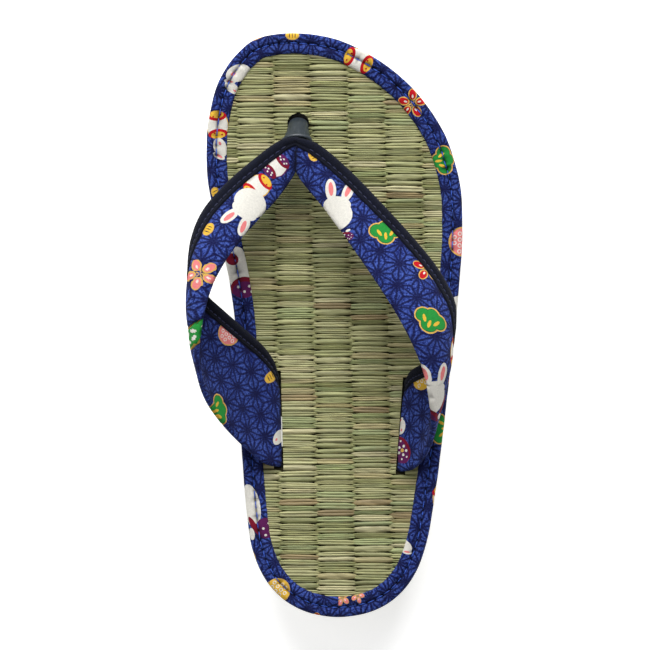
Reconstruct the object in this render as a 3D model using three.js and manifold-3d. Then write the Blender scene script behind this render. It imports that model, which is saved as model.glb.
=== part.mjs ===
// A zori for the right foot. An EVA wedge sole carries a rush-mat insole whose edge is bound in
// cloth. Two padded cloth bands rise from slits in the insole and join in a V over a vinyl sleeve
// that holds the toe strap, and a dark padded edging runs along the bands' front edge.
//
// Millimetres, +Z up, toe towards +Y, little toe towards +X. The tables measure X and Y from the
// middle of the heel end. Heights in the strap tables are above the insole.

import * as THREE from "three";
import Module from "manifold-3d";

const wasm = await Module();
wasm.setup();

// ---- Driving sizes -------------------------------------------------------------------------

const LENGTH = 245; // heel to toe over the binding
const GAP = 0.3; // left between pieces that meet
const CUT_HEIGHT = 30; // of the tools that cut slits and holes right through
const OUTLINE_STEPS = 44; // rows from heel to toe on every slab and ring

const INSOLE_THICKNESS = 4.0; // rush mat on its board
const BINDING_WIDTH = 8.0; // cloth that shows on top of the insole
const BINDING_CLOTH = 1.0;
const BINDING_ROUND = 0.5; // rounding of the binding's outer top edge

const SOLE_INSET_TOP = 1.2; // how far the sole stands back under the binding
const SOLE_INSET_BOTTOM = 2.0;
const BALL = 186; // the tread is flat from the heel to here, and turns up from here to the toe
const TOE_SPRING = 6.0;

const TREAD_PITCH = 5.8; // from one wave row to the next
const TREAD_WAVE = 24.9; // length of one wave across the sole
const TREAD_SWING = 4.9; // height of a wave, valley to peak
const TREAD_DEPTH = 1.2;
const TREAD_PHASE = -2.5; // X where a wave points at the heel
const TREAD_CORNERS = 5; // turns of a wave on each side of TREAD_PHASE, enough to cross the sole

const BAND_HALF = 1.4; // half the thickness of a cloth band
const BAND_ROOM = 0.2; // kept clear of the edging all round a band
const EDGING_WIDTH = 4.8;
const STEPS_PER_ROW = 3; // sections made between two rows of a strap table

const SLIT_WIDTH = 4.0;
const SLIT_END = 0.8; // how far a slit runs past the strap at each end

const SLEEVE_WALL = 1.4;
const SLEEVE_SIDES = 16;
const TOE_HOLE = { x: -16.9, y: 207.1, radius: 4.8 };

// Outer edge of the binding: distance from the heel, X on the big-toe side, X on the other side
const OUTLINE = [
  { y: 0, inner: 0, outer: 0 },
  { y: 4.4, inner: -18.5, outer: 18.5 },
  { y: 14.5, inner: -29.8, outer: 29.8 },
  { y: 29.6, inner: -36.4, outer: 36.5 },
  { y: 54.8, inner: -39.5, outer: 41.0 },
  { y: 90, inner: -41.9, outer: 45.4 },
  { y: 120, inner: -43.2, outer: 48.7 },
  { y: 140, inner: -45.7, outer: 50.8 },
  { y: 160, inner: -50.0, outer: 52.1 },
  { y: 180.8, inner: -54.6, outer: 51.2 },
  { y: 201, inner: -55.4, outer: 45.4 },
  { y: 216, inner: -53.1, outer: 36.2 },
  { y: 226.2, inner: -49.7, outer: 26.8 },
  { y: 236.3, inner: -42.7, outer: 12.6 },
  { y: 242.6, inner: -34.4, outer: -1.6 },
  { y: LENGTH, inner: -20.0, outer: -20.0 },
];

// Side view of the wedge sole's top: high at the heel, thin at the ball, turned up at the toe
const SOLE_TOP = [
  { y: 0, height: 23.0 },
  { y: 45, height: 22.5 },
  { y: 90, height: 20.2 },
  { y: 130, height: 17.6 },
  { y: 165, height: 16.2 },
  { y: 190, height: 16.2 },
  { y: 215, height: 17.2 },
  { y: LENGTH, height: 19.6 },
];

// Straps, from the slit to the V. Each row is one section: its rear edge, its front edge, how far
// it bows outwards between them, and half the thickness of the padded edging there.
const INNER_STRAP = [
  { rear: [-25.1, 63, -3.9], front: [-26.2, 102, -3.9], bow: 0, pad: 1.3 },
  { rear: [-25.1, 63, -1.6], front: [-26.2, 102, -1.6], bow: 0, pad: 1.3 },
  { rear: [-25.2, 63, 0.4], front: [-26.3, 102.4, 0.4], bow: 0, pad: 1.4 },
  { rear: [-30.5, 64.2, 4.8], front: [-27.8, 107.6, 3.6], bow: 0.8, pad: 1.7 },
  { rear: [-38.5, 70.6, 10.8], front: [-31.8, 113.4, 7.4], bow: 2, pad: 1.9 },
  { rear: [-48.6, 81.6, 20.5], front: [-40.2, 121.2, 14], bow: 3, pad: 2.0 },
  { rear: [-55.4, 92.5, 29.2], front: [-49.2, 129.2, 20.2], bow: 4, pad: 2.0 },
  { rear: [-57.8, 104.2, 35], front: [-55.4, 135, 24], bow: 4.3, pad: 2.0 },
  { rear: [-57.6, 116.5, 38.2], front: [-58.8, 141, 26], bow: 3.8, pad: 2.0 },
  { rear: [-55.2, 130, 38.6], front: [-60.9, 148.6, 26.8], bow: 3.4, pad: 2.0 },
  { rear: [-50.2, 143.4, 35.8], front: [-60.6, 158.4, 26.6], bow: 3, pad: 2.0 },
  { rear: [-42.2, 156, 30.8], front: [-56.2, 169.6, 25], bow: 2.4, pad: 2.0 },
  { rear: [-33.4, 166.4, 25.4], front: [-47.2, 180.6, 22.4], bow: 2, pad: 2.0 },
  { rear: [-25.4, 175.4, 20.6], front: [-35.6, 191, 19.4], bow: 1.5, pad: 2.0 },
  { rear: [-20.4, 182.4, 17.3], front: [-24.2, 199.5, 17.1], bow: 0.8, pad: 1.9 },
  { rear: [-17.4, 187.2, 15.4], front: [-17.4, 201.1, 16.2], bow: 0.3, pad: 1.8 },
];
const OUTER_STRAP = [
  { rear: [26, 61, -3.9], front: [29, 99.6, -3.9], bow: 0, pad: 1.3 },
  { rear: [26, 61, -1.6], front: [29, 99.6, -1.6], bow: 0, pad: 1.3 },
  { rear: [26.1, 61, 0.4], front: [29.1, 99.8, 0.4], bow: 0, pad: 1.4 },
  { rear: [31, 62, 5], front: [30.4, 102.6, 3], bow: 0.8, pad: 1.7 },
  { rear: [35.8, 67.4, 12], front: [32.8, 104.6, 6.4], bow: 1.8, pad: 1.9 },
  { rear: [38.4, 74.6, 20], front: [36.4, 106.4, 10], bow: 2.8, pad: 2.0 },
  { rear: [38.8, 82, 27], front: [40, 108.8, 13.8], bow: 3.6, pad: 2.0 },
  { rear: [37.8, 90, 32.6], front: [43.2, 112.4, 17.6], bow: 4, pad: 2.0 },
  { rear: [36.2, 98.6, 36.8], front: [45.8, 117.6, 21], bow: 4.4, pad: 2.0 },
  { rear: [33.4, 107.6, 39.3], front: [47.3, 124, 24], bow: 4.2, pad: 2.0 },
  { rear: [29.2, 117.2, 40], front: [47.4, 131.4, 26.2], bow: 3.8, pad: 2.0 },
  { rear: [23.6, 127.6, 38.4], front: [44, 139.8, 27.3], bow: 3, pad: 2.0 },
  { rear: [16.8, 138.4, 35.4], front: [38.8, 148.2, 27.3], bow: 2.5, pad: 2.0 },
  { rear: [9, 150, 31.3], front: [29.6, 159.6, 26.2], bow: 2, pad: 2.0 },
  { rear: [0.4, 162.2, 26.4], front: [17.6, 172.8, 23.5], bow: 1.8, pad: 2.0 },
  { rear: [-8, 173.4, 21.4], front: [4.4, 186.6, 20.1], bow: 1.5, pad: 2.0 },
  { rear: [-14.8, 181.6, 17.6], front: [-9, 198, 17.4], bow: 0.8, pad: 1.9 },
  { rear: [-18.4, 187.2, 15.4], front: [-18.4, 201.1, 16.2], bow: 0.3, pad: 1.8 },
];

// Across a band, from the edging to the rear edge, and across the edging, from its front edge:
// how far along (1 is the whole width) and how much of the full thickness is there
const BAND_SECTION = [
  { along: 0, full: 0.9 },
  { along: 0.3, full: 1 },
  { along: 0.55, full: 1 },
  { along: 0.8, full: 0.95 },
  { along: 0.96, full: 0.75 },
  { along: 1, full: 0.3 },
];
const EDGING_SECTION = [
  { along: 0, full: 0.35 },
  { along: 0.2, full: 0.9 },
  { along: 0.6, full: 1 },
  { along: 1, full: 0.7 },
];

// Centre line of the toe strap, from inside the insole up to the V, and the size of the vinyl
// sleeve round it. The last row is the strap alone, where it runs into the bands.
const TOE_STRAP = [
  { x: -16.9, y: 206.9, z: -3.9, width: 8.2, depth: 6.0 },
  { x: -16.9, y: 206.8, z: -1.6, width: 8.3, depth: 6.0 },
  { x: -16.9, y: 206.2, z: 0.8, width: 8.5, depth: 6.1 },
  { x: -17.1, y: 203.2, z: 6.0, width: 9.6, depth: 6.5 },
  { x: -17.4, y: 199.5, z: 11.4, width: 11.6, depth: 7.0 },
  { x: -17.9, y: 194.6, z: 15.4, width: 11.8, depth: 5.4 },
];
const SLEEVE_FROM = 1; // first and last row of TOE_STRAP that the sleeve covers
const SLEEVE_TO = 4;

// ---- Curves --------------------------------------------------------------------------------

// Smooth curve through values at keys: cubic pieces whose slopes come from the neighbours
function smooth(keys, values) {
  const last = keys.length - 1;
  const slopes = keys.map((_, i) => {
    const before = Math.max(i - 1, 0);
    const after = Math.min(i + 1, last);
    return (values[after] - values[before]) / (keys[after] - keys[before]);
  });
  return (at) => {
    let i = 0;
    while (i < last - 1 && keys[i + 1] < at) i += 1;
    const span = keys[i + 1] - keys[i];
    const t = (at - keys[i]) / span;
    const s = 1 - t;
    const from = values[i] * (1 + 2 * t) * s * s + slopes[i] * span * t * s * s;
    const to = values[i + 1] * t * t * (3 - 2 * t) - slopes[i + 1] * span * t * t * s;
    return from + to;
  };
}

const column = (rows, name) => rows.map((row) => row[name]);

// The outline runs on an angle, 0 at the heel and pi at the toe, so both ends come out round
const outlineAngles = OUTLINE.map((row) => Math.acos(1 - (2 * row.y) / LENGTH));
const outlineX = {
  inner: smooth(outlineAngles, column(OUTLINE, "inner")),
  outer: smooth(outlineAngles, column(OUTLINE, "outer")),
};
const soleBottom = (y) => TOE_SPRING * (Math.max(0, y - BALL) / (LENGTH - BALL)) ** 2;
const soleTop = smooth(column(SOLE_TOP, "y"), column(SOLE_TOP, "height"));
const insoleBottom = (y) => soleTop(y) + GAP;
const insoleTop = (y) => insoleBottom(y) + INSOLE_THICKNESS;

// Point of the outline on one side, moved inwards by an inset
function outlinePoint(side, angle, inset) {
  const step = 0.01;
  const before = Math.max(angle - step, 0);
  const after = Math.min(angle + step, Math.PI);
  const slopeX = (outlineX[side](after) - outlineX[side](before)) / (after - before);
  const slopeY = (LENGTH / 2) * Math.sin(angle);
  const inwards = side === "outer" ? 1 : -1;
  const size = Math.hypot(slopeX, slopeY);
  const x = outlineX[side](angle) - (inwards * inset * slopeY) / size;
  const y = (LENGTH / 2) * (1 - Math.cos(angle)) + (inwards * inset * slopeX) / size;
  return new THREE.Vector2(x, y);
}

// The whole outline, anticlockwise from the heel: outer side first, then back on the inner side
function outlineLoop(inset) {
  const loop = [];
  for (let i = 0; i < 2 * OUTLINE_STEPS; i += 1) {
    const side = i <= OUTLINE_STEPS ? "outer" : "inner";
    const row = side === "outer" ? i : 2 * OUTLINE_STEPS - i;
    loop.push(outlinePoint(side, (Math.PI * row) / OUTLINE_STEPS, inset));
  }
  return loop;
}

// ---- Solids --------------------------------------------------------------------------------

function addQuad(faces, a, b, c, d) {
  const triangles = [[a, b, c], [a, c, d]];
  triangles.forEach(([p, q, r]) => {
    if (p !== q && q !== r && r !== p) faces.push(p, q, r);
  });
}

// Closed solid from points and triangles, turned the right way out
function solidFrom(points, faces) {
  let volume = 0;
  for (let i = 0; i < faces.length; i += 3) {
    const cross = new THREE.Vector3().crossVectors(points[faces[i + 1]], points[faces[i + 2]]);
    volume += points[faces[i]].dot(cross);
  }
  const triVerts = new Uint32Array(volume < 0 ? [...faces].reverse() : faces);
  const vertProperties = new Float32Array(points.flatMap((point) => point.toArray()));
  return new wasm.Manifold(new wasm.Mesh({ numProp: 3, vertProperties, triVerts }));
}

// Solid through a row of loops with equal point counts. A loop's first and last points, its
// second and last but one, and so on face each other, which is how the ends are closed.
function loft(loops, ring = false) {
  const size = loops[0].length;
  const faces = [];
  const lastLoop = loops.length - 1;
  for (let i = 0; i < (ring ? loops.length : lastLoop); i += 1) {
    const here = i * size;
    const next = ((i + 1) % loops.length) * size;
    for (let j = 0; j < size; j += 1) {
      const k = (j + 1) % size;
      addQuad(faces, here + j, here + k, next + k, next + j);
    }
  }
  for (let j = 0; !ring && j < size / 2 - 1; j += 1) {
    const end = lastLoop * size;
    addQuad(faces, size - 1 - j, size - 2 - j, j + 1, j);
    addQuad(faces, end + j, end + j + 1, end + size - 2 - j, end + size - 1 - j);
  }
  return solidFrom(loops.flat(), faces);
}

// Slab with the sandal's outline between two heights that change along its length
function slab(insetLow, heightLow, insetHigh, heightHigh) {
  const raise = (inset, height) => outlineLoop(inset).map(
    (point) => new THREE.Vector3(point.x, point.y, height(point.y)),
  );
  const low = raise(insetLow, heightLow);
  const high = raise(insetHigh, heightHigh);
  const count = low.length;
  const faces = [];
  for (let i = 0; i < count; i += 1) {
    const next = (i + 1) % count;
    addQuad(faces, i, next, count + next, count + i);
  }
  for (let i = 0; i < OUTLINE_STEPS; i += 1) {
    const [outer, outerNext] = [i, i + 1];
    const [inner, innerNext] = [(count - i) % count, count - i - 1];
    addQuad(faces, count + outer, count + outerNext, count + innerNext, count + inner);
    addQuad(faces, inner, innerNext, outerNext, outer);
  }
  return solidFrom([...low, ...high], faces);
}

// Solid of a three.js geometry, with the corners that its faces share made one
function solidOfGeometry(shape) {
  const places = shape.getAttribute("position");
  const points = [];
  const numbers = new Map();
  const shared = [];
  for (let i = 0; i < places.count; i += 1) {
    const point = new THREE.Vector3().fromBufferAttribute(places, i);
    const name = point.toArray().map((value) => value.toFixed(3)).join(" ");
    if (!numbers.has(name)) {
      numbers.set(name, points.length);
      points.push(point);
    }
    shared.push(numbers.get(name));
  }
  const faces = [];
  const corners = [...shape.getIndex().array].map((corner) => shared[corner]);
  for (let i = 0; i < corners.length; i += 3) {
    const [a, b, c] = corners.slice(i, i + 3);
    if (a !== b && b !== c && c !== a) faces.push(a, b, c);
  }
  return solidFrom(points, faces);
}

// ---- Sole, insole and binding --------------------------------------------------------------

// One groove of the tread: a steep wall on the heel side and a ramp on the other. It runs right
// across the sole, in a wave.
const TREAD_SECTION = [
  { y: -1.5, z: -3 },
  { y: -1.4, z: TREAD_DEPTH },
  { y: -0.1, z: TREAD_DEPTH },
  { y: 1.5, z: 0 },
  { y: 1.5, z: -3 },
];

function treadGroove(y) {
  const loops = [];
  for (let corner = -TREAD_CORNERS; corner <= TREAD_CORNERS; corner += 1) {
    const x = TREAD_PHASE + (corner * TREAD_WAVE) / 2;
    const middle = y + (corner % 2 === 0 ? -TREAD_SWING : TREAD_SWING) / 2;
    const height = soleBottom(middle);
    loops.push(TREAD_SECTION.map((row) => new THREE.Vector3(x, middle + row.y, height + row.z)));
  }
  return loft(loops);
}

function makeOutsole() {
  let sole = slab(SOLE_INSET_BOTTOM, soleBottom, SOLE_INSET_TOP, soleTop);
  for (let y = TREAD_PITCH; y < LENGTH - TREAD_SWING; y += TREAD_PITCH) {
    sole = sole.subtract(treadGroove(y));
  }
  return sole;
}

// Tool that cuts the slit in the insole under the end of a strap
function strapSlit(rows) {
  const [rear, front] = [rows[0].rear, rows[0].front];
  const [runX, runY] = [front[0] - rear[0], front[1] - rear[1]];
  const shape = new THREE.BoxGeometry(SLIT_WIDTH, Math.hypot(runX, runY) + 2 * SLIT_END, CUT_HEIGHT);
  shape.rotateZ(-Math.atan2(runX, runY));
  shape.translate(rear[0] + runX / 2, rear[1] + runY / 2, insoleTop(rear[1]));
  return solidOfGeometry(shape);
}

function toeHole() {
  const { x, y, radius } = TOE_HOLE;
  const shape = new THREE.CylinderGeometry(radius, radius, CUT_HEIGHT, SLEEVE_SIDES);
  shape.rotateX(Math.PI / 2);
  shape.translate(x, y, insoleTop(y));
  return solidOfGeometry(shape);
}

function makeInsole() {
  const inset = BINDING_CLOTH + GAP;
  return slab(inset, insoleBottom, inset, insoleTop)
    .subtract(strapSlit(INNER_STRAP))
    .subtract(strapSlit(OUTER_STRAP))
    .subtract(toeHole());
}

// Cloth folded over the insole's edge: a lip on top and a wall down the side
function makeBinding() {
  const lipLow = INSOLE_THICKNESS + GAP;
  const lipHigh = lipLow + BINDING_CLOTH;
  const section = [
    { inset: 0, height: 0 },
    { inset: 0, height: lipHigh - BINDING_ROUND },
    { inset: BINDING_ROUND, height: lipHigh },
    { inset: BINDING_WIDTH, height: lipHigh },
    { inset: BINDING_WIDTH, height: lipLow },
    { inset: BINDING_CLOTH, height: lipLow },
    { inset: BINDING_CLOTH, height: 0 },
  ];
  const rims = section.map((row) => outlineLoop(row.inset));
  const loops = rims[0].map((_, i) => section.map((row, j) => {
    const point = rims[j][i];
    return new THREE.Vector3(point.x, point.y, insoleBottom(point.y) + row.height);
  }));
  return loft(loops, true);
}

// ---- Straps --------------------------------------------------------------------------------

// Sections along one strap from its table, the last one a little beyond the last row if asked.
// `outwards` is 1 or -1, whichever turns the strap's outer face away from the foot.
function strapSections(rows, outwards, beyond = 0) {
  const place = ([x, y, z]) => new THREE.Vector3(x, y, z + insoleTop(y));
  const edges = rows.map((row) => ({ rear: place(row.rear), front: place(row.front) }));
  const middles = edges.map((edge) => edge.rear.clone().add(edge.front).divideScalar(2));
  const keys = [0];
  for (let i = 1; i < rows.length; i += 1) {
    keys.push(keys[i - 1] + middles[i].distanceTo(middles[i - 1]));
  }
  const path = (edge) => {
    const axes = ["x", "y", "z"].map((axis) => smooth(keys, edges.map((row) => row[edge][axis])));
    return (at) => new THREE.Vector3(...axes.map((axis) => axis(at)));
  };
  const [rear, front] = [path("rear"), path("front")];
  const bow = smooth(keys, column(rows, "bow"));
  const pad = smooth(keys, column(rows, "pad"));
  const middle = (at) => rear(at).add(front(at)).divideScalar(2);

  // Section at a place along the strap: a function from a distance behind the front edge and a
  // height off the middle surface to a point
  const sectionAt = (at) => {
    const start = front(at);
    const across = rear(at).sub(start);
    const width = across.length();
    across.normalize();
    const along = middle(at + 0.5).sub(middle(at - 0.5));
    const out = new THREE.Vector3().crossVectors(across, along).normalize();
    out.multiplyScalar(outwards);
    const point = (distance, height) => {
      const part = distance / width;
      const lean = (4 * bow(at) * (1 - 2 * part)) / width;
      const normal = out.clone().addScaledVector(across, -lean).normalize();
      return start.clone()
        .addScaledVector(across, distance)
        .addScaledVector(out, 4 * bow(at) * part * (1 - part))
        .addScaledVector(normal, height);
    };
    return { width, pad: pad(at), point };
  };

  const places = [];
  for (let i = 0; i < rows.length - 1; i += 1) {
    for (let step = 0; step < STEPS_PER_ROW; step += 1) {
      places.push(keys[i] + ((keys[i + 1] - keys[i]) * step) / STEPS_PER_ROW);
    }
  }
  places.push(keys[rows.length - 1] + beyond);
  return places.map(sectionAt);
}

// Closed strip of a strap between two distances behind its front edge
function strapStrip(sections, profile, span, half) {
  return loft(sections.map((section) => {
    const [from, to] = span(section);
    const side = (sign) => profile.map((row) => section.point(
      from + (to - from) * row.along,
      sign * row.full * half(section),
    ));
    return [...side(1), ...side(-1).reverse()];
  }));
}

const strapBand = (sections, margin = 0) => strapStrip(
  sections,
  BAND_SECTION,
  (section) => [EDGING_WIDTH + GAP - margin, section.width],
  () => BAND_HALF + margin,
);

const strapEdging = (sections) => strapStrip(
  sections,
  EDGING_SECTION,
  () => [0, EDGING_WIDTH],
  (section) => section.pad,
);

// Oval solid along the toe strap's centre line, smaller than the sleeve by a margin all round
function toeOval(rows, margin) {
  const centres = rows.map((row) => new THREE.Vector3(row.x, row.y, row.z + insoleTop(TOE_HOLE.y)));
  return loft(rows.map((row, i) => {
    const before = centres[Math.max(i - 1, 0)];
    const after = centres[Math.min(i + 1, rows.length - 1)];
    const along = after.clone().sub(before).normalize();
    const side = new THREE.Vector3(1, 0, 0);
    const ahead = new THREE.Vector3().crossVectors(along, side).normalize();
    const loop = [];
    for (let step = 0; step < SLEEVE_SIDES; step += 1) {
      const angle = (2 * Math.PI * (step + 0.5)) / SLEEVE_SIDES;
      loop.push(centres[i].clone()
        .addScaledVector(side, (row.width / 2 - margin) * Math.cos(angle))
        .addScaledVector(ahead, (row.depth / 2 - margin) * Math.sin(angle)));
    }
    return loop;
  }));
}

function makeUpper() {
  return strapBand(strapSections(INNER_STRAP, 1))
    .add(strapBand(strapSections(OUTER_STRAP, -1)))
    .add(toeOval(TOE_STRAP, SLEEVE_WALL + GAP));
}

// The edging stops short of the bands and of the toe strap
function makeStrapEdging() {
  return strapEdging(strapSections(INNER_STRAP, 1))
    .add(strapEdging(strapSections(OUTER_STRAP, -1)))
    .subtract(strapBand(strapSections(INNER_STRAP, 1, BAND_ROOM), BAND_ROOM))
    .subtract(strapBand(strapSections(OUTER_STRAP, -1, BAND_ROOM), BAND_ROOM))
    .subtract(toeOval(TOE_STRAP, SLEEVE_WALL));
}

function makeToeSleeve() {
  const rows = TOE_STRAP.slice(SLEEVE_FROM, SLEEVE_TO + 1);
  return toeOval(rows, 0).subtract(toeOval(TOE_STRAP, SLEEVE_WALL));
}

// ---- The sandal ----------------------------------------------------------------------------

function meshOf(name, solid, color, roughness) {
  const { vertProperties, triVerts } = solid.getMesh();
  const shape = new THREE.BufferGeometry();
  shape.setAttribute("position", new THREE.BufferAttribute(new Float32Array(vertProperties), 3));
  shape.setIndex(new THREE.BufferAttribute(new Uint32Array(triVerts), 1));
  shape.computeVertexNormals();
  const material = new THREE.MeshStandardMaterial({ color, roughness, metalness: 0 });
  const mesh = new THREE.Mesh(shape, material);
  mesh.name = name;
  return mesh;
}

const sandal = new THREE.Group();
sandal.name = "zori";
sandal.add(meshOf("outsole", makeOutsole(), 0xdedece, 0.75));
sandal.add(meshOf("insole", makeInsole(), 0xa9ab75, 0.7));
sandal.add(meshOf("edge_binding", makeBinding(), 0x374696, 0.85));
sandal.add(meshOf("upper", makeUpper(), 0x3c4ba0, 0.85));
sandal.add(meshOf("strap_edging", makeStrapEdging(), 0x121628, 0.85));
sandal.add(meshOf("toe_sleeve", makeToeSleeve(), 0x4b555f, 0.45));

// The origin is under the middle of the sandal, on the floor
const bounds = new THREE.Box3().setFromObject(sandal, true);
const middle = bounds.getCenter(new THREE.Vector3());
sandal.position.set(-middle.x, -middle.y, -bounds.min.z);

export default sandal;
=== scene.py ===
"""A zori sandal for the right foot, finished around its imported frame.

The tables are in millimetres and measure from the middle of the heel end, +Y towards the toe and
+X towards the little toe. placed() takes such points into the frame, in metres.
"""

import math
import random

import bmesh
import bpy
import numpy as np
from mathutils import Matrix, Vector, geometry, noise


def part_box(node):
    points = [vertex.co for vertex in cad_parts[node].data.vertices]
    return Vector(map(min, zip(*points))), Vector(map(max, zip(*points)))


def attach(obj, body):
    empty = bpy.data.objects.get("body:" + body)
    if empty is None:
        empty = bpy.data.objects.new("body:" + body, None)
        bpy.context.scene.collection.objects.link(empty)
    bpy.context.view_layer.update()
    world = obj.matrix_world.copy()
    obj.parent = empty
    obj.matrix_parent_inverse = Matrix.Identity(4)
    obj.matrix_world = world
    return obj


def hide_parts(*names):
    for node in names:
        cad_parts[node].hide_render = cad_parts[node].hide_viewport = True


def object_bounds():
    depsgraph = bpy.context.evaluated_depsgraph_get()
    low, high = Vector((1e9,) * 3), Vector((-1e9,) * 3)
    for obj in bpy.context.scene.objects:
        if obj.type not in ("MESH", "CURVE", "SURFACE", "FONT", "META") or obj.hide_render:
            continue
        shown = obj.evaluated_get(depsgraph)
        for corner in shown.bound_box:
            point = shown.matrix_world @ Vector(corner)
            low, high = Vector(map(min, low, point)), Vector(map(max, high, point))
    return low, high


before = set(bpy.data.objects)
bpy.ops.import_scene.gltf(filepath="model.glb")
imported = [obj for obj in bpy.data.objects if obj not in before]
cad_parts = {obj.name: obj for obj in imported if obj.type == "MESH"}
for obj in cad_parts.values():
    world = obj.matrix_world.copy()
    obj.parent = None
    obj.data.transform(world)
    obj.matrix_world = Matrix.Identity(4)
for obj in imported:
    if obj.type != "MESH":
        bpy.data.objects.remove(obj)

CAD_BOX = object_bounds()
MM = 0.001

# ---- Sizes of the sandal, in millimetres ----------------------------------------------------

LENGTH = 245.0
INSOLE_THICKNESS = 4.0
GAP = 0.3
BINDING_LIP = 1.3  # the binding's top above the mat
SOLE_INSET_TOP = 1.2
SOLE_INSET_BOTTOM = 2.0
BALL = 186.0
TOE_SPRING = 6.0
TREAD_PITCH = 5.8
TREAD_WAVE = 24.9
TREAD_SWING = 4.9
TREAD_PHASE = -2.5
EDGING_WIDTH = 4.8
TOE_HOLE = (-16.9, 207.1, 4.6)
SLIT_WIDTH = 4.0

OUTLINE = {  # distance from the heel, X on the big-toe side, X on the little-toe side
    "y": (0, 4.4, 14.5, 29.6, 54.8, 90, 120, 140, 160, 180.8, 201, 216, 226.2, 236.3, 242.6, 245),
    "inner": (0, -18.5, -29.8, -36.4, -39.5, -41.9, -43.2, -45.7, -50, -54.6, -55.4, -53.1, -49.7,
              -42.7, -34.4, -20),
    "outer": (0, 18.5, 29.8, 36.5, 41, 45.4, 48.7, 50.8, 52.1, 51.2, 45.4, 36.2, 26.8, 12.6, -1.6,
              -20),
}
SOLE_TOP = {
    "y": (0, 45, 90, 130, 165, 190, 215, 245),
    "height": (23, 22.5, 20.2, 17.6, 16.2, 16.2, 17.2, 19.6),
}

# Sections of a strap from its slit to the V: rear edge, front edge, outward bow, half edging
INNER_STRAP = (
    ((-25.1, 63, -3.9), (-26.2, 102, -3.9), 0, 1.3),
    ((-25.1, 63, -1.6), (-26.2, 102, -1.6), 0, 1.3),
    ((-25.2, 63, 0.4), (-26.3, 102.4, 0.4), 0, 1.4),
    ((-30.5, 64.2, 4.8), (-27.8, 107.6, 3.6), 0.8, 1.7),
    ((-38.5, 70.6, 10.8), (-31.8, 113.4, 7.4), 2, 1.9),
    ((-48.6, 81.6, 20.5), (-40.2, 121.2, 14), 3, 2.0),
    ((-55.4, 92.5, 29.2), (-49.2, 129.2, 20.2), 4, 2.0),
    ((-57.8, 104.2, 35), (-55.4, 135, 24), 4.3, 2.0),
    ((-57.6, 116.5, 38.2), (-58.8, 141, 26), 3.8, 2.0),
    ((-55.2, 130, 38.6), (-60.9, 148.6, 26.8), 3.4, 2.0),
    ((-50.2, 143.4, 35.8), (-60.6, 158.4, 26.6), 3, 2.0),
    ((-42.2, 156, 30.8), (-56.2, 169.6, 25), 2.4, 2.0),
    ((-33.4, 166.4, 25.4), (-47.2, 180.6, 22.4), 2, 2.0),
    ((-25.4, 175.4, 20.6), (-35.6, 191, 19.4), 1.5, 2.0),
    ((-20.4, 182.4, 17.3), (-24.2, 199.5, 17.1), 0.8, 1.9),
    ((-17.4, 187.2, 15.4), (-17.4, 201.1, 16.2), 0.3, 1.8),
)
OUTER_STRAP = (
    ((26, 61, -3.9), (29, 99.6, -3.9), 0, 1.3),
    ((26, 61, -1.6), (29, 99.6, -1.6), 0, 1.3),
    ((26.1, 61, 0.4), (29.1, 99.8, 0.4), 0, 1.4),
    ((31, 62, 5), (30.4, 102.6, 3), 0.8, 1.7),
    ((35.8, 67.4, 12), (32.8, 104.6, 6.4), 1.8, 1.9),
    ((38.4, 74.6, 20), (36.4, 106.4, 10), 2.8, 2.0),
    ((38.8, 82, 27), (40, 108.8, 13.8), 3.6, 2.0),
    ((37.8, 90, 32.6), (43.2, 112.4, 17.6), 4, 2.0),
    ((36.2, 98.6, 36.8), (45.8, 117.6, 21), 4.4, 2.0),
    ((33.4, 107.6, 39.3), (47.3, 124, 24), 4.2, 2.0),
    ((29.2, 117.2, 40), (47.4, 131.4, 26.2), 3.8, 2.0),
    ((23.6, 127.6, 38.4), (44, 139.8, 27.3), 3, 2.0),
    ((16.8, 138.4, 35.4), (38.8, 148.2, 27.3), 2.5, 2.0),
    ((9, 150, 31.3), (29.6, 159.6, 26.2), 2, 2.0),
    ((0.4, 162.2, 26.4), (17.6, 172.8, 23.5), 1.8, 2.0),
    ((-8, 173.4, 21.4), (4.4, 186.6, 20.1), 1.5, 2.0),
    ((-14.8, 181.6, 17.6), (-9, 198, 17.4), 0.8, 1.9),
    ((-18.4, 187.2, 15.4), (-18.4, 201.1, 16.2), 0.3, 1.8),
)
# Centre line of the toe strap, and the width and depth of the sleeve round it
TOE_STRAP = (
    ((-16.9, 206.9, -3.9), 8.2, 6.0),
    ((-16.9, 206.8, -1.6), 8.3, 6.0),
    ((-16.9, 206.2, 0.8), 8.5, 6.1),
    ((-17.1, 203.2, 6.0), 9.6, 6.5),
    ((-17.4, 199.5, 11.4), 11.6, 7.0),
    ((-17.9, 194.6, 15.4), 11.8, 5.4),
)


# ---- Curves ---------------------------------------------------------------------------------

def smooth(keys, values):
    """Smooth curve through values at keys: cubic pieces whose slopes come from the neighbours."""
    keys = np.asarray(keys, float)
    values = np.asarray(values, float)
    last = len(keys) - 1
    before = np.maximum(np.arange(last + 1) - 1, 0)
    after = np.minimum(np.arange(last + 1) + 1, last)
    rise = values[after] - values[before]
    run = keys[after] - keys[before]
    slopes = (rise.T / run).T

    def curve(at):
        at = np.asarray(at, float)
        i = np.clip(np.searchsorted(keys, at) - 1, 0, last - 1)
        span = keys[i + 1] - keys[i]
        t = (at - keys[i]) / span
        s = 1 - t
        weights = [(1 + 2 * t) * s * s, t * s * s * span, t * t * (3 - 2 * t), -t * t * s * span]
        if values.ndim > 1:
            weights = [weight[..., None] for weight in weights]
        parts = (values[i], slopes[i], values[i + 1], slopes[i + 1])
        return sum(weight * part for weight, part in zip(weights, parts))

    return curve


def length(vectors):
    return np.linalg.norm(vectors, axis=-1)


def unit(vectors):
    return vectors / length(vectors)[..., None]


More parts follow.
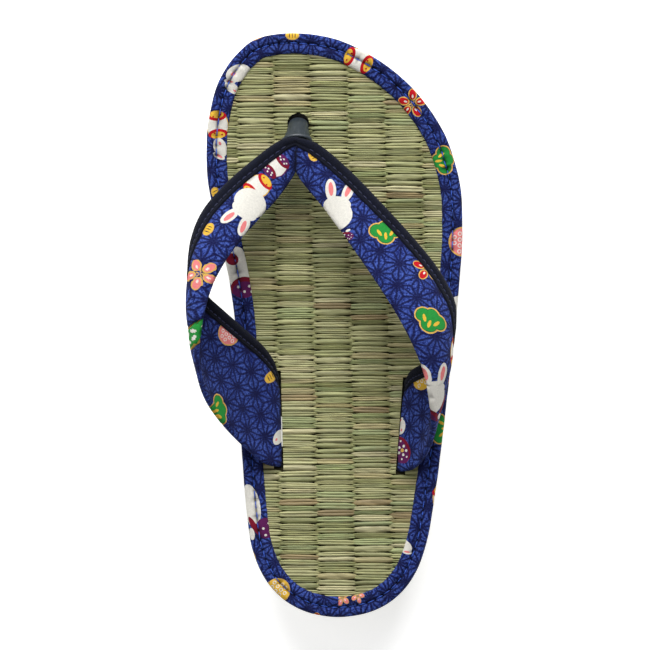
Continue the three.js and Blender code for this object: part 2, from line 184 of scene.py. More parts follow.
angles = np.arccos(1 - 2 * np.array(OUTLINE["y"]) / LENGTH)
outline_x = {side: smooth(angles, OUTLINE[side]) for side in ("inner", "outer")}
sole_top = smooth(SOLE_TOP["y"], SOLE_TOP["height"])


def sole_bottom(y):
    return TOE_SPRING * (np.maximum(0, y - BALL) / (LENGTH - BALL)) ** 2


def board_bottom(y):
    return sole_top(y) + GAP


def insole_top(y):
    return board_bottom(y) + INSOLE_THICKNESS


class Rim:
    """The sandal's outline as one loop, measured along it from the heel, outer side first."""

    def __init__(self, count=3000):
        turn = np.linspace(0, 2 * math.pi, count, endpoint=False)
        angle = np.where(turn <= math.pi, turn, 2 * math.pi - turn)
        x = np.where(turn <= math.pi, outline_x["outer"](angle), outline_x["inner"](angle))
        y = LENGTH / 2 * (1 - np.cos(angle))
        loop = np.stack([x, y], axis=1)
        closed = np.vstack([loop, loop[:1]])
        steps = length(np.diff(closed, axis=0))
        self.places = np.concatenate([[0], np.cumsum(steps)])
        self.size = self.places[-1]
        self.loop = closed
        tangent = unit(np.roll(loop, -2, axis=0) - np.roll(loop, 2, axis=0))
        inward = np.stack([-tangent[:, 1], tangent[:, 0]], axis=1)
        self.inward = np.vstack([inward, inward[:1]])

    def __call__(self, along, inset):
        """Point in plan at a distance along the loop and an inset from it."""
        along = np.mod(along, self.size)
        point = [np.interp(along, self.places, self.loop[:, axis]) for axis in (0, 1)]
        inward = [np.interp(along, self.places, self.inward[:, axis]) for axis in (0, 1)]
        inward = unit(np.stack(inward, axis=-1))
        return np.stack(point, axis=-1) + inward * np.asarray(inset, float)[..., None]


rim = Rim()


class Strap:
    """Surface of one strap, from the table of its sections."""

    def __init__(self, rows, outwards):
        edges = [np.array([row[i] for row in rows], float) for i in (0, 1)]
        for edge in edges:
            edge[:, 2] += insole_top(edge[:, 1])
        middles = (edges[0] + edges[1]) / 2
        steps = length(np.diff(middles, axis=0))
        self.keys = np.concatenate([[0], np.cumsum(steps)])
        self.size = self.keys[-1]
        self.outwards = outwards
        self.rear = smooth(self.keys, edges[0])
        self.front = smooth(self.keys, edges[1])
        self.bow = smooth(self.keys, [row[2] for row in rows])
        self.pad = smooth(self.keys, [row[3] for row in rows])
        self.unroll()

    def width(self, along):
        return length(self.rear(along) - self.front(along))

    def point(self, along, behind, height):
        """Point a distance along the strap and behind its front edge, and a height off it."""
        along = np.asarray(along, float)
        start = self.front(along)
        across = self.rear(along) - start
        width = length(across)
        across = unit(across)
        ahead = self.rear(along + 0.5) + self.front(along + 0.5)
        ahead = ahead - self.rear(along - 0.5) - self.front(along - 0.5)
        out = self.outwards * unit(np.cross(across, ahead))
        part = behind / width
        bow = self.bow(along)
        lean = 4 * bow * (1 - 2 * part) / width
        normal = unit(out - across * lean[..., None])
        rise = 4 * bow * part * (1 - part)
        point = start + across * np.asarray(behind, float)[..., None]
        return point + out * rise[..., None] + normal * np.asarray(height, float)[..., None]

    def unroll(self, count=240):
        """Lays the strap out flat, section by section, so that prints keep their shape on it."""
        self.places = np.linspace(0, self.size, count)
        rear, front = self.rear(self.places), self.front(self.places)
        flat = [(np.zeros(2), np.array([0.0, length(front[0] - rear[0])]))]
        for i in range(1, count):
            r, f = flat[-1]
            r = meeting(r, f, length(rear[i] - rear[i - 1]), length(rear[i] - front[i - 1]))
            f = meeting(r, f, length(front[i] - rear[i]), length(front[i] - front[i - 1]))
            flat.append((r, f))
        self.flat_rear, self.flat_front = (np.array(side) for side in zip(*flat))

    def flat(self, along, off):
        """Place on the flat strap, a distance along it and off its rear edge."""
        rear, front = (
            np.stack([np.interp(along, self.places, side[:, axis]) for axis in (0, 1)], axis=-1)
            for side in (self.flat_rear, self.flat_front))
        return rear + unit(front - rear) * np.asarray(off, float)[..., None]

    def heading(self, along, off):
        """Direction of the flat strap's run, in degrees."""
        run = self.flat(along + 1, off) - self.flat(along - 1, off)
        return math.degrees(math.atan2(run[1], run[0]))

    def folded(self, points, near):
        """Distances along and off the rear edge of places on the flat strap."""
        across = unit(self.flat_front - self.flat_rear)
        result = []
        for point in points:
            away = point - self.flat_rear
            beside = across[:, 0] * away[:, 1] - across[:, 1] * away[:, 0]
            crossings = np.nonzero(np.diff(np.sign(beside)))[0]
            if len(crossings):
                i = crossings[np.argmin(np.abs(self.places[crossings] - near))]
                along = np.interp(0, beside[[i + 1, i]], self.places[[i + 1, i]])
                if beside[i] < beside[i + 1]:
                    along = np.interp(0, beside[[i, i + 1]], self.places[[i, i + 1]])
            else:
                along = self.size + 4 if near > self.size / 2 else -4.0
                i = np.argmin(np.abs(self.places - along))
            result.append((along, float(away[i] @ across[i])))
        return np.array(result)


def meeting(first, second, from_first, from_second):
    """Point at given distances from two others, to the right of the way from first to second."""
    apart = second - first
    size = length(apart)
    ahead = (from_first ** 2 - from_second ** 2 + size ** 2) / (2 * size)
    beside = math.sqrt(max(0.0, from_first ** 2 - ahead ** 2))
    return first + (apart * ahead + np.array([apart[1], -apart[0]]) * beside) / size


inner_strap = Strap(INNER_STRAP, 1)
outer_strap = Strap(OUTER_STRAP, -1)

# ---- Meshes ---------------------------------------------------------------------------------

binding_low, binding_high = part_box("edge_binding")
widest = rim(np.linspace(0, rim.size, 2000), np.zeros(2000))[:, 0].max()
ORIGIN = np.array([binding_high[0] / MM - widest, binding_low[1] / MM, 0])


def placed(points):
    return (np.asarray(points, float) + ORIGIN) * MM


def srgb(red, green, blue):
    """Linear colour of a shade given as 0 to 255 in sRGB."""
    shade = [value / 255 for value in (red, green, blue)]
    return tuple(v / 12.92 if v <= 0.04045 else ((v + 0.055) / 1.055) ** 2.4 for v in shade)


def new_object(name, points, faces, uvs=None, colours=None, folds=None):
    """Mesh object from points in millimetres. Cloth places and the painted fold shade go with the
    points, colours with the faces."""
    mesh = bpy.data.meshes.new(name)
    mesh.from_pydata(placed(points).tolist(), [], [list(map(int, face)) for face in faces])
    sizes = [len(face) for face in faces]
    if uvs is not None:
        corners = np.concatenate([np.asarray(face) for face in faces])
        layer = mesh.uv_layers.new(name="Cloth")
        layer.data.foreach_set("uv", np.asarray(uvs, float)[corners].ravel())
    if colours is not None:
        layer = mesh.color_attributes.new("print", "FLOAT_COLOR", "CORNER")
        shades = np.repeat(np.asarray(colours, float), sizes, axis=0)
        layer.data.foreach_set("color", shades.ravel())
    if folds is not None:
        # painted shade: a darkness for each point, which the printed cloth mixes into its colour
        layer = mesh.attributes.new("fold", "FLOAT", "POINT")
        layer.data.foreach_set("value", np.asarray(folds, float))
    obj = bpy.data.objects.new(name, mesh)
    bpy.context.scene.collection.objects.link(obj)
    return obj


def tidy_mesh(obj, sharp=180, weld=0.0):
    """Welds close points, faces the normals outwards and keeps edges above an angle sharp."""
    bm = bmesh.new()
    bm.from_mesh(obj.data)
    if weld:
        bmesh.ops.remove_doubles(bm, verts=bm.verts, dist=weld * MM)
    bmesh.ops.recalc_face_normals(bm, faces=bm.faces)
    for face in bm.faces:
        face.smooth = True
    for edge in bm.edges:
        edge.smooth = len(edge.link_faces) == 2 and edge.calc_face_angle() < math.radians(sharp)
    bm.to_mesh(obj.data)
    bm.free()


def apply_modifiers(obj):
    """Works an object's modifiers into its mesh."""
    seen = obj.evaluated_get(bpy.context.evaluated_depsgraph_get())
    mesh = bpy.data.meshes.new_from_object(seen)
    obj.modifiers.clear()
    obj.data = mesh


def combine(obj, other, operation):
    """Cuts an object by another, joins the two or keeps what they share, and drops the other."""
    modifier = obj.modifiers.new("combine", "BOOLEAN")
    modifier.operation = operation
    modifier.solver = "MANIFOLD"
    modifier.object = other
    apply_modifiers(obj)
    bpy.data.objects.remove(other)


def loft_faces(rows, size, ring=False):
    """Quads between rows of equally many points, with end caps unless the rows form a ring."""
    faces = []
    for i in range(rows if ring else rows - 1):
        here, there = i * size, (i + 1) % rows * size
        for j in range(size):
            k = (j + 1) % size
            faces.append((here + j, here + k, there + k, there + j))
    if not ring:
        end = (rows - 1) * size
        for j in range(size // 2 - 1):
            faces.append((size - 1 - j, size - 2 - j, j + 1, j))
            faces.append((end + j, end + j + 1, end + size - 2 - j, end + size - 1 - j))
    return faces


def wall_faces(count):
    """Quads between two loops of equally many points."""
    return [(i, (i + 1) % count, count + (i + 1) % count, count + i) for i in range(count)]


def shifted(faces, base):
    return [tuple(base + corner for corner in face) for face in faces]


def slab(name, low_inset, low, high_inset, high, count=360):
    """Slab with the sandal's outline between two heights that change along its length."""
    along = np.linspace(0, rim.size, count, endpoint=False)
    points = []
    for inset, height in ((low_inset, low), (high_inset, high)):
        plan = rim(along, np.full(count, inset))
        points.append(np.column_stack([plan, height(plan[:, 1])]))
    faces = wall_faces(count)
    for base, flip in ((0, True), (count, False)):
        strip = [base + i for i in range(count)]
        right, left = strip[:count // 2 + 1], [strip[0]] + strip[:count // 2 - 1:-1]
        for i in range(len(right) - 1):
            quad = list(dict.fromkeys([right[i], right[i + 1], left[i + 1], left[i]]))
            if len(quad) > 2:
                faces.append(quad[::-1] if flip else quad)
    return new_object(name, np.vstack(points), faces)


def finished(obj, material, slot, *nodes):
    """Gives a piece its material, hangs it on the root body and hides the imported parts it stands
    for.
    """
    obj.data.materials.clear()
    obj.data.materials.append(material)
    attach(obj, "root")
    if nodes:
        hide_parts(*nodes)


# ---- Materials ------------------------------------------------------------------------------

class Value:
    """An output of a node. Arithmetic on it adds maths nodes, and value[name] is another output."""

    def __init__(self, shades, socket):
        self.shades = shades
        self.socket = socket

    def __getitem__(self, name):
        return Value(self.shades, self.socket.node.outputs[name])

    def __add__(self, other):
        return self.shades.math("ADD", self, other)

    def __sub__(self, other):
        return self.shades.math("SUBTRACT", self, other)

    def __rsub__(self, other):
        return self.shades.math("SUBTRACT", other, self)

    def __mul__(self, other):
        return self.shades.math("MULTIPLY", self, other)

    def __truediv__(self, other):
        return self.shades.math("DIVIDE", self, other)

    def __abs__(self):
        return self.shades.math("ABSOLUTE", self)


class Shades:
    """Short hand for one material's nodes. Inputs are numbers, tuples or values."""

    def __init__(self, name, roughness, sheen=0.0, specular=0.5):
        self.material = bpy.data.materials.new(name)
        self.material.use_nodes = True
        self.tree = self.material.node_tree
        self.surface = self.tree.nodes["Principled BSDF"]
        self.surface.inputs["Roughness"].default_value = roughness
        self.surface.inputs["Sheen Weight"].default_value = sheen
        self.surface.inputs["Specular IOR Level"].default_value = specular

    def link(self, value, socket):
        if isinstance(value, Value):
            self.tree.links.new(value.socket, socket)
        elif isinstance(value, tuple) and len(value) == 3 and len(socket.default_value) == 4:
            socket.default_value = (*value, 1)
        else:
            socket.default_value = value

    def node(self, kind, inputs=(), **settings):
        """First output of a new node."""
        node = self.tree.nodes.new(kind)
        for name, value in settings.items():
            setattr(node, name, value)
        for key, value in dict(inputs).items():
            self.link(value, node.inputs[key])
        return Value(self, node.outputs[0])

    def math(self, operation, *values):
        return self.node("ShaderNodeMath", dict(enumerate(values)), operation=operation)

    def ramp(self, value, low, high, to_low=0.0, to_high=1.0):
        names = ("Value", "From Min", "From Max", "To Min", "To Max")
        inputs = dict(zip(names, (value, low, high, to_low, to_high)))
        return self.node("ShaderNodeMapRange", inputs)

    def mix(self, factor, first, second, blend="MIX"):
        inputs = {0: factor, 6: first, 7: second}
        return self.node("ShaderNodeMix", inputs, data_type="RGBA", blend_type=blend)[2]

    def toned(self, colour, tone):
        """A colour made darker or lighter by a tone, where 1 leaves it as it is."""
        grey = self.node("ShaderNodeCombineColor", {0: tone, 1: tone, 2: tone})
        return self.mix(1.0, colour, grey, "MULTIPLY")

    def noise(self, vector, scale, detail=2.0, roughness=0.5):
        inputs = {"Vector": vector, "Scale": scale, "Detail": detail, "Roughness": roughness}
        return self.node("ShaderNodeTexNoise", inputs)

    def stretched(self, vector, scale):
        """Coordinates scaled differently along each axis."""
        return self.node("ShaderNodeVectorMath", {0: vector, 1: scale}, operation="MULTIPLY")

    def place(self):
        return self.node("ShaderNodeTexCoord")["Object"]

    def attribute(self, name):
        return self.node("ShaderNodeAttribute", attribute_name=name)

    def cloth_axes(self):
        """Places on the cloth, and its two axes, in millimetres."""
        uv = self.node("ShaderNodeUVMap", uv_map="Cloth")
        axes = self.node("ShaderNodeSeparateXYZ", {0: uv})
        return uv, axes[0], axes[1]

    def finish(self, colour, height=None, bump=0.0, roughness=None):
        self.link(colour, self.surface.inputs["Base Color"])
        if roughness is not None:
            self.link(roughness, self.surface.inputs["Roughness"])
        if height is not None:
            inputs = {"Height": height, "Distance": bump * MM, "Strength": 1.0}
            self.link(self.node("ShaderNodeBump", inputs), self.surface.inputs["Normal"])
        return self.material


def plain_weave(shades, u, v, pitch):
    """Plain weave of threads a pitch apart: its height, and a tint that differs by thread."""
    along, across = u / pitch, v / pitch
    cells = [shades.math("FLOOR", axis) for axis in (along, across)]
    over = abs(shades.math("MODULO", cells[0] + cells[1], 2.0))
    warp, weft = (abs(shades.math("SINE", axis * math.pi)) for axis in (along, across))
    height = warp * over + weft * (1.0 - over)
    cell = shades.node("ShaderNodeCombineXYZ", {0: cells[0], 1: cells[1]})
    spots = shades.node("ShaderNodeTexWhiteNoise", {0: cell}, noise_dimensions="3D")
    threads = [
        shades.node("ShaderNodeTexWhiteNoise", {"W": value}, noise_dimensions="1D")
        for value in cells
    ]
    return height, spots * 0.55 + (threads[0] + threads[1]) * 0.5 * 0.45


def hemp_leaf(shades, u, v, pitch, line):
    """Lines of the hemp-leaf lattice: triangles, each split from its middle to its corners."""
    rise = pitch * math.sqrt(3) / 2
    t = v / rise
    s = u / pitch - t * 0.5
    fs, ft = shades.math("FRACT", s), shades.math("FRACT", t)
    total = fs + ft
    upper = shades.math("GREATER_THAN", total, 1.0)
    parts = (abs(upper - fs), abs(upper - ft), abs(1.0 - total))
    least, most = (
        shades.math(kind, shades.math(kind, parts[0], parts[1]), parts[2])
        for kind in ("MINIMUM", "MAXIMUM")
    )
    middle = 1.0 - least - most
    distance = shades.math("MINIMUM", least * rise, (middle - least) * (pitch / 2))
    heart = shades.ramp(most, 0.86, 0.97)
    return shades.math("MAXIMUM", shades.ramp(distance, line * 0.4, line, 1.0, 0.0), heart)


COTTON_THREAD = 0.52  # from one thread of the weave to the next
NAVY_THREAD_PITCH = 0.42
HEMP_LINE = 0.62
HEMP_SHAKE = 0.7  # how far the printed lines wander
HEMP_PITCH = 9.4


def printed_cotton():
    shades = Shades("printed cotton", roughness=0.92, sheen=0.03, specular=0.12)
    uv, u, v = shades.cloth_axes()
    height, tint = plain_weave(shades, u, v, COTTON_THREAD)
    patches = shades.noise(uv, 0.09, detail=3)
    slubs = shades.ramp(shades.noise(uv, 1.1, detail=2, roughness=0.8), 0.34, 0.66)
    tint = tint * 0.62 + slubs * 0.38
    ground = shades.mix(shades.ramp(tint, 0.3, 0.7), srgb(14, 24, 82), srgb(70, 94, 176))
    ground = shades.mix(shades.ramp(patches, 0.3, 0.7, 0.0, 0.3), ground, srgb(30, 44, 118))
    drift = shades.node("ShaderNodeTexNoise", {"Vector": uv, "Scale": 0.45, "Detail": 1.0})[1]
    drift = shades.node("ShaderNodeSeparateXYZ", {0: drift})
    shaky = [axis + (drift[i] - 0.5) * HEMP_SHAKE for i, axis in enumerate((u, v))]
    lines = hemp_leaf(shades, *shaky, HEMP_PITCH, HEMP_LINE)
    ground = shades.mix(lines * shades.ramp(tint, 0.0, 1.0, 1.0, 0.8), ground, srgb(14, 16, 58))
    motif = shades.attribute("print")
    worn = shades.toned(motif["Color"], shades.ramp(tint, 0.0, 1.0, 0.82, 1.04))
    colour = shades.mix(motif["Alpha"], ground, worn)
    # Painted shade: the fold attribute darkens the cloth to near black in the binding's seam and
    # puckers, along the bands' hem and where the straps meet
    colour = shades.mix(shades.attribute("fold")["Fac"] * 0.92, colour, srgb(2, 3, 16))
    return shades.finish(colour, height, bump=0.09)


def navy_cotton():
    shades = Shades("navy cotton", roughness=0.92, sheen=0.04, specular=0.15)
    uv, u, v = shades.cloth_axes()
    height, tint = plain_weave(shades, u, v, NAVY_THREAD_PITCH)
    patches = shades.noise(uv, 0.2, detail=3)
    colour = shades.mix(tint, srgb(3, 4, 10), srgb(14, 18, 36))
    colour = shades.mix(shades.ramp(patches, 0.35, 0.75, 0.0, 0.4), colour, srgb(16, 21, 42))
    return shades.finish(colour, height, bump=0.08)


def sewing_thread(name, dark, light):
    shades = Shades(name, roughness=0.6, sheen=0.1)
    where = shades.stretched(shades.place(), (2600.0, 2600.0, 2600.0))
    twist = shades.noise(where, 1.0, detail=1)
    colour = shades.mix(shades.ramp(twist, 0.35, 0.65), dark, light)
    return shades.finish(colour, twist, bump=0.05)


def rush():
    shades = Shades("rush", roughness=0.5, specular=0.4)
    where = shades.place()
    lengthways = shades.stretched(where, (90.0, 3000.0, 900.0))
    streaks = shades.noise(lengthways, 1.0, detail=4, roughness=0.6)
    mottle = shades.noise(shades.stretched(where, (260.0, 700.0, 300.0)), 1.0, detail=2)
    reed = shades.attribute("print")["Color"]
    colour = shades.toned(reed, shades.ramp(streaks, 0.3, 0.7, 0.26, 1.18))
    colour = shades.mix(shades.ramp(mottle, 0.55, 0.75, 0.0, 0.35), colour, srgb(128, 112, 72))
    gloss = shades.ramp(streaks, 0.3, 0.8, 0.62, 0.4)
    return shades.finish(colour, streaks, bump=0.16, roughness=gloss)


def board():
    shades = Shades("board", roughness=0.95, specular=0.1)
    fibres = shades.noise(shades.place(), 900.0, detail=3)
    # The board's own dark brown, kept near black so that it is also painted shade on the walls of
    # the toe hole and the slits
    colour = shades.mix(fibres, srgb(24, 22, 14), srgb(50, 47, 30))
    return shades.finish(colour, fibres, bump=0.2)


def foam():
    shades = Shades("cream foam", roughness=0.72, specular=0.3)
    where = shades.place()
    pores = shades.noise(where, 2600.0, detail=2)
    clouds = shades.noise(where, 30.0, detail=4)
    specks = shades.noise(where, 420.0, detail=3, roughness=0.7)
    colour = shades.mix(clouds, srgb(200, 199, 182), srgb(212, 211, 195))
    colour = shades.mix(shades.ramp(specks, 0.7, 0.8, 0.0, 0.5), colour, srgb(150, 146, 128))
    return shades.finish(colour, pores, bump=0.06)


def backing():
    shades = Shades("white backing", roughness=0.9)
    return shades.finish(srgb(205, 204, 198))


def glue_and_hole_shade():
    shades = Shades("glue_and_hole_shade", roughness=0.6)
    # Near black: glue on the sole's top, its darkness also painted shade seen down the toe hole and
    # the slits
    return shades.finish(srgb(30, 27, 22))


def vinyl():
    shades = Shades("grey vinyl", roughness=0.36, specular=0.5)
    where = shades.place()
    scratches = shades.noise(shades.stretched(where, (1800.0, 160.0, 160.0)), 1.0, detail=3)
    clouds = shades.noise(where, 300.0, detail=3)
    colour = shades.mix(clouds, srgb(28, 35, 42), srgb(54, 62, 70))
    colour = shades.mix(shades.ramp(scratches, 0.6, 0.75, 0.0, 0.3), colour, srgb(104, 113, 120))
    gloss = shades.ramp(scratches, 0.3, 0.7, 0.3, 0.5)
    return shades.finish(colour, scratches, bump=0.04, roughness=gloss)


COTTON = printed_cotton()
NAVY = navy_cotton()
BLUE_THREAD = sewing_thread("blue thread", srgb(14, 46, 140), srgb(44, 96, 214))
NAVY_THREAD = sewing_thread("navy thread", srgb(8, 14, 44), srgb(20, 32, 80))
RUSH = rush()
BOARD = board()
FOAM = foam()
GLUE_AND_HOLE_SHADE = glue_and_hole_shade()
BACKING = backing()
VINYL = vinyl()


# ---- Printed motifs -------------------------------------------------------------------------
# A motif is a list of layers, an outline and a colour, painted in turn. Outlines are about one
# unit across and centred on the motif.

GOLD = srgb(214, 172, 84)
YELLOW = srgb(226, 180, 62)
RED = srgb(186, 24, 34)
DEEP_RED = srgb(122, 22, 44)
WHITE = srgb(226, 223, 214)
GREEN = srgb(38, 140, 58)
PINK = srgb(228, 128, 128)
PLUM = srgb(92, 30, 84)
DARK = srgb(36, 24, 60)


def oval(x, y, width, height, turn=0.0, count=22):
    angle = np.linspace(0, 2 * math.pi, count, endpoint=False)
    points = np.stack([np.cos(angle) * width / 2, np.sin(angle) * height / 2], axis=1)
    return turned(points, turn) + (x, y)


def turned(points, degrees):
    c, s = math.cos(math.radians(degrees)), math.sin(math.radians(degrees))
    return points @ np.array([[c, s], [-s, c]])


def ring_of(count, radius, width, height, start=90.0):
    """Ovals set round a circle, pointing outwards."""
    for i in range(count):
        degrees = start + 360 * i / count
        x, y = radius * math.cos(math.radians(degrees)), radius * math.sin(math.radians(degrees))
        yield oval(x, y, width, height, degrees)


def ovals(*rows):
    """Layers from rows of a colour and an oval."""
    return [(oval(*shape), colour) for colour, *shape in rows]


def spots(colour, size, places, count=8):
    return [(oval(x, y, size, size, count=count), colour) for x, y in places]


def blossom(petal, shine):
    layers = [(points, GOLD) for points in ring_of(5, 0.3, 0.41, 0.29)]
    layers += [(points, petal) for points in ring_of(5, 0.31, 0.34, 0.22)]
    layers += [(points, shine) for points in ring_of(5, 0.24, 0.12, 0.06)]
    layers += [(points, GOLD) for points in ring_of(5, 0.07, 0.11, 0.035, 54.0)]
    return layers


def pine():
    lobes = ((-0.27, 0.06, 0.44), (0.27, 0.06, 0.44), (0.0, 0.16, 0.44), (0.0, -0.14, 0.5))
    layers = []
    for rim_width, colour in ((0.12, GOLD), (0.03, DARK), (0.0, GREEN)):
        layers += [(oval(x, y, size + rim_width, size + rim_width), colour) for x, y, size in lobes]
    for x, y, turn in ((-0.2, -0.02, 120.0), (0.2, -0.02, 60.0), (0.0, -0.14, 90.0)):
        layers.append((oval(x, y, 0.26, 0.1, turn), YELLOW))
    return layers


def ball(cap, band, dot, dots):
    layers = ovals((cap, 0, 0, 1.0, 0.84), (WHITE, 0, 0, 0.93, 0.77))
    for side in (-1, 1):
        layers += ovals((band, side * 0.33, 0, 0.36, 0.68), (cap, side * 0.385, 0, 0.27, 0.5))
        layers += spots(dot, 0.07, [(side * x, y) for x, y in dots])
    return layers


def banded_ball():
    return ball(YELLOW, RED, RED, ((0.38, 0.14), (0.3, -0.12)))


def dotted_ball():
    dots = ((0.36, 0.18), (0.4, 0.02), (0.3, 0.08), (0.3, -0.12), (0.38, -0.16))
    return ball(PLUM, DEEP_RED, WHITE, dots)


def ring_ball(colour):
    layers = ovals((GOLD, 0, 0, 1.0, 0.94), (colour, 0, 0, 0.91, 0.85))
    for row, y in enumerate((-0.27, -0.09, 0.09, 0.27)):
        for column in range(4):
            x = -0.3 + 0.2 * column + (0.05 if row % 2 else -0.03)
            if math.hypot(x, y) < 0.36:
                layers += spots(WHITE, 0.15, [(x, y)], 12) + spots(colour, 0.09, [(x, y)], 10)
    return layers


def rabbit():
    """A plain white rabbit, only its outline."""
    layers = ovals((WHITE, 0.0, -0.2, 0.64, 0.58), (WHITE, 0.0, 0.0, 0.52, 0.34))
    for x, turn in ((-0.16, 102.0), (0.16, 76.0)):
        layers += ovals((WHITE, x, 0.28, 0.44, 0.2, turn), (PINK, x, 0.3, 0.27, 0.09, turn))
    return layers


def plum_ball():
    layers = ovals((DEEP_RED, 0, 0, 1.0, 0.72), (PLUM, 0.02, 0.04, 0.92, 0.6))
    layers += spots(GOLD, 0.13, [(0.06, -0.05)], 10)
    layers += [(points + (0.06, -0.05), WHITE) for points in ring_of(5, 0.15, 0.1, 0.09)]
    dots = ((-0.3, 0.02), (-0.16, 0.2), (0.34, -0.08), (0.3, 0.12), (-0.24, -0.16), (0.0, 0.24))
    return layers + spots(WHITE, 0.07, dots)


def collar():
    """Red and plum folds with a white end."""
    return ovals(
        (DEEP_RED, -0.24, 0.14, 0.76, 0.2, 104), (DEEP_RED, 0.12, -0.2, 0.8, 0.26, 20),
        (PLUM, 0.2, -0.24, 0.6, 0.18, 20), (WHITE, -0.24, -0.22, 0.26, 0.2, 30))


def leaf_card():
    card = np.array([(-0.3, -0.36), (-0.16, -0.48), (0.16, -0.5), (0.3, -0.38), (0.33, 0.4),
                     (-0.3, 0.44)])
    leaves = ((-0.14, 0.28, 60.0), (0.1, 0.22, 120.0), (-0.1, 0.04, 120.0), (0.12, -0.04, 60.0),
              (-0.12, -0.22, 60.0), (0.1, -0.3, 110.0))
    layers = [(card * 1.1, GOLD), (card, GREEN)]
    return layers + [(oval(x, y, 0.2, 0.12, turn), WHITE) for x, y, turn in leaves]


def seed():
    layers = ovals((GOLD, 0, 0, 1.0, 0.7), (YELLOW, 0, 0, 0.84, 0.54))
    return layers + [(oval(x, 0, 0.06, 0.42), DARK) for x in (-0.2, 0.0, 0.2)]


def scrap():
    return ovals(
        (WHITE, 0, 0, 0.8, 0.5), (WHITE, -0.3, 0.16, 0.5, 0.24, 40),
        (PINK, -0.3, 0.16, 0.3, 0.1, 40), (PINK, 0.16, -0.04, 0.16, 0.1))


def ribbon():
    layers = ovals(
        (WHITE, -0.16, -0.1, 0.7, 0.3, 6), (PLUM, 0.24, 0.1, 0.36, 0.34),
        (DEEP_RED, 0.18, -0.08, 0.36, 0.09, 24), (WHITE, 0.3, -0.14, 0.2, 0.1))
    dots = ((0.16, 0.16), (0.24, 0.06), (0.3, 0.18), (0.36, 0.08), (0.22, 0.22))
    return layers + spots(WHITE, 0.045, dots)


def sash():
    layers = ovals(
        (WHITE, 0, 0, 1.0, 0.62), (DEEP_RED, -0.24, -0.1, 0.3, 0.26, 50),
        (DEEP_RED, 0.4, 0.04, 0.44, 0.6), (PLUM, 0.46, 0.04, 0.36, 0.52))
    return layers + spots(WHITE, 0.06, ((0.4, 0.16), (0.5, 0.04), (0.38, -0.08), (0.52, 0.2)))


MOTIFS = {
    "red blossom": blossom(RED, WHITE),
    "pink blossom": blossom(PINK, WHITE),
    "pine": pine(),
    "banded ball": banded_ball(),
    "dotted ball": dotted_ball(),
    "ring ball": ring_ball(PINK),
    "yellow ball": ring_ball(YELLOW),
    "rabbit": rabbit(),
    "leaf card": leaf_card(),
    "seed": seed(),
    "scrap": scrap(),
    "ribbon": ribbon(),
    "sash": sash(),
    "plum ball": plum_ball(),
    "collar": collar(),
}


def print_layers(rows):
    """Layers of a table of motifs: kind, place along and across the cloth, size and turn."""
    layers = []
    for kind, along, across, size, turn in rows:
        for points, colour in MOTIFS[kind]:
            layers.append((turned(points * size, turn) + (along, across), colour))
    return layers


def strap_layers(strap, rows):
    """Layers of a strap's table of motifs. A turn is taken from the run of the strap there."""
    layers = []
    for kind, along, off, size, turn in rows:
        side = -1 if off < 0 else 1
        centre = strap.flat(along, abs(off))
        turn += strap.heading(along, abs(off)) * side
        for points, colour in MOTIFS[kind]:
            points = centre + turned(points * size, turn) * (1, side)
            layers.append((strap.folded(points, along) * (1, side), colour))
    return layers


def inside(points, outline):
    """Which points lie inside an outline."""
    result = np.zeros(len(points), bool)
    x, y = points[:, 0], points[:, 1]
    for (x0, y0), (x1, y1) in zip(outline, np.roll(outline, -1, axis=0)):
        if y0 != y1:
            crossing = x0 + (y - y0) * (x1 - x0) / (y1 - y0)
            result ^= ((y0 > y) != (y1 > y)) & (x < crossing)
    return result


def printed_cloth(border, points, layers):
    """Flat cloth cut into triangles along each outline of its print, with a colour for each."""
    flat = [tuple(point) for point in border] + [tuple(point) for point in points]
    edges = []
    for outline, _ in layers:
        start = len(flat)
        flat += [tuple(point) for point in outline]
        edges += [(start + i, start + (i + 1) % len(outline)) for i in range(len(outline))]
    faces = [list(range(len(border)))]
    cut = geometry.delaunay_2d_cdt([Vector(point) for point in flat], edges, faces, 1, 1e-4, False)
    corners = np.array([point[:] for point in cut[0]])
    triangles = np.array([face[:] for face in cut[2]])
    centres = corners[triangles].mean(axis=1)
    kept = inside(centres, np.array(border))
    triangles, centres = triangles[kept], centres[kept]
    colours = np.zeros((len(triangles), 4))
    for outline, colour in layers:
        low, high = outline.min(axis=0), outline.max(axis=0)
        near = np.nonzero(((centres > low) & (centres < high)).all(axis=1))[0]
        colours[near[inside(centres[near], outline)]] = (*colour, 1)
    return corners, triangles, colours


def rough(points, scale, seed):
    """Smooth noise, about -1 to 1, at flat points."""
    return np.array([noise.noise(Vector((x * scale, y * scale, seed))) for x, y in points])


# ---- Sole -----------------------------------------------------------------------------------

TREAD_PROFILE = (  # across one groove, heel side first: place and depth
    (-1.9, 0.0), (-1.56, 0.04), (-1.44, 0.22), (-1.38, 0.95), (-1.2, 1.17), (-0.7, 1.22),
    (-0.15, 1.14), (0.5, 0.74), (1.1, 0.26), (1.5, 0.05), (1.95, 0.0),
)
TREAD_ROUNDING = 0.965  # 1 would make the waves' corners sharp
LID_HEIGHT = 60  # the tread's block reaches above the sole before the outline cuts it


def tread_wave(x):
    swing = np.cos(2 * math.pi * (x - TREAD_PHASE) / TREAD_WAVE)
    return -TREAD_SWING / 2 * np.arcsin(TREAD_ROUNDING * swing) / math.asin(TREAD_ROUNDING)


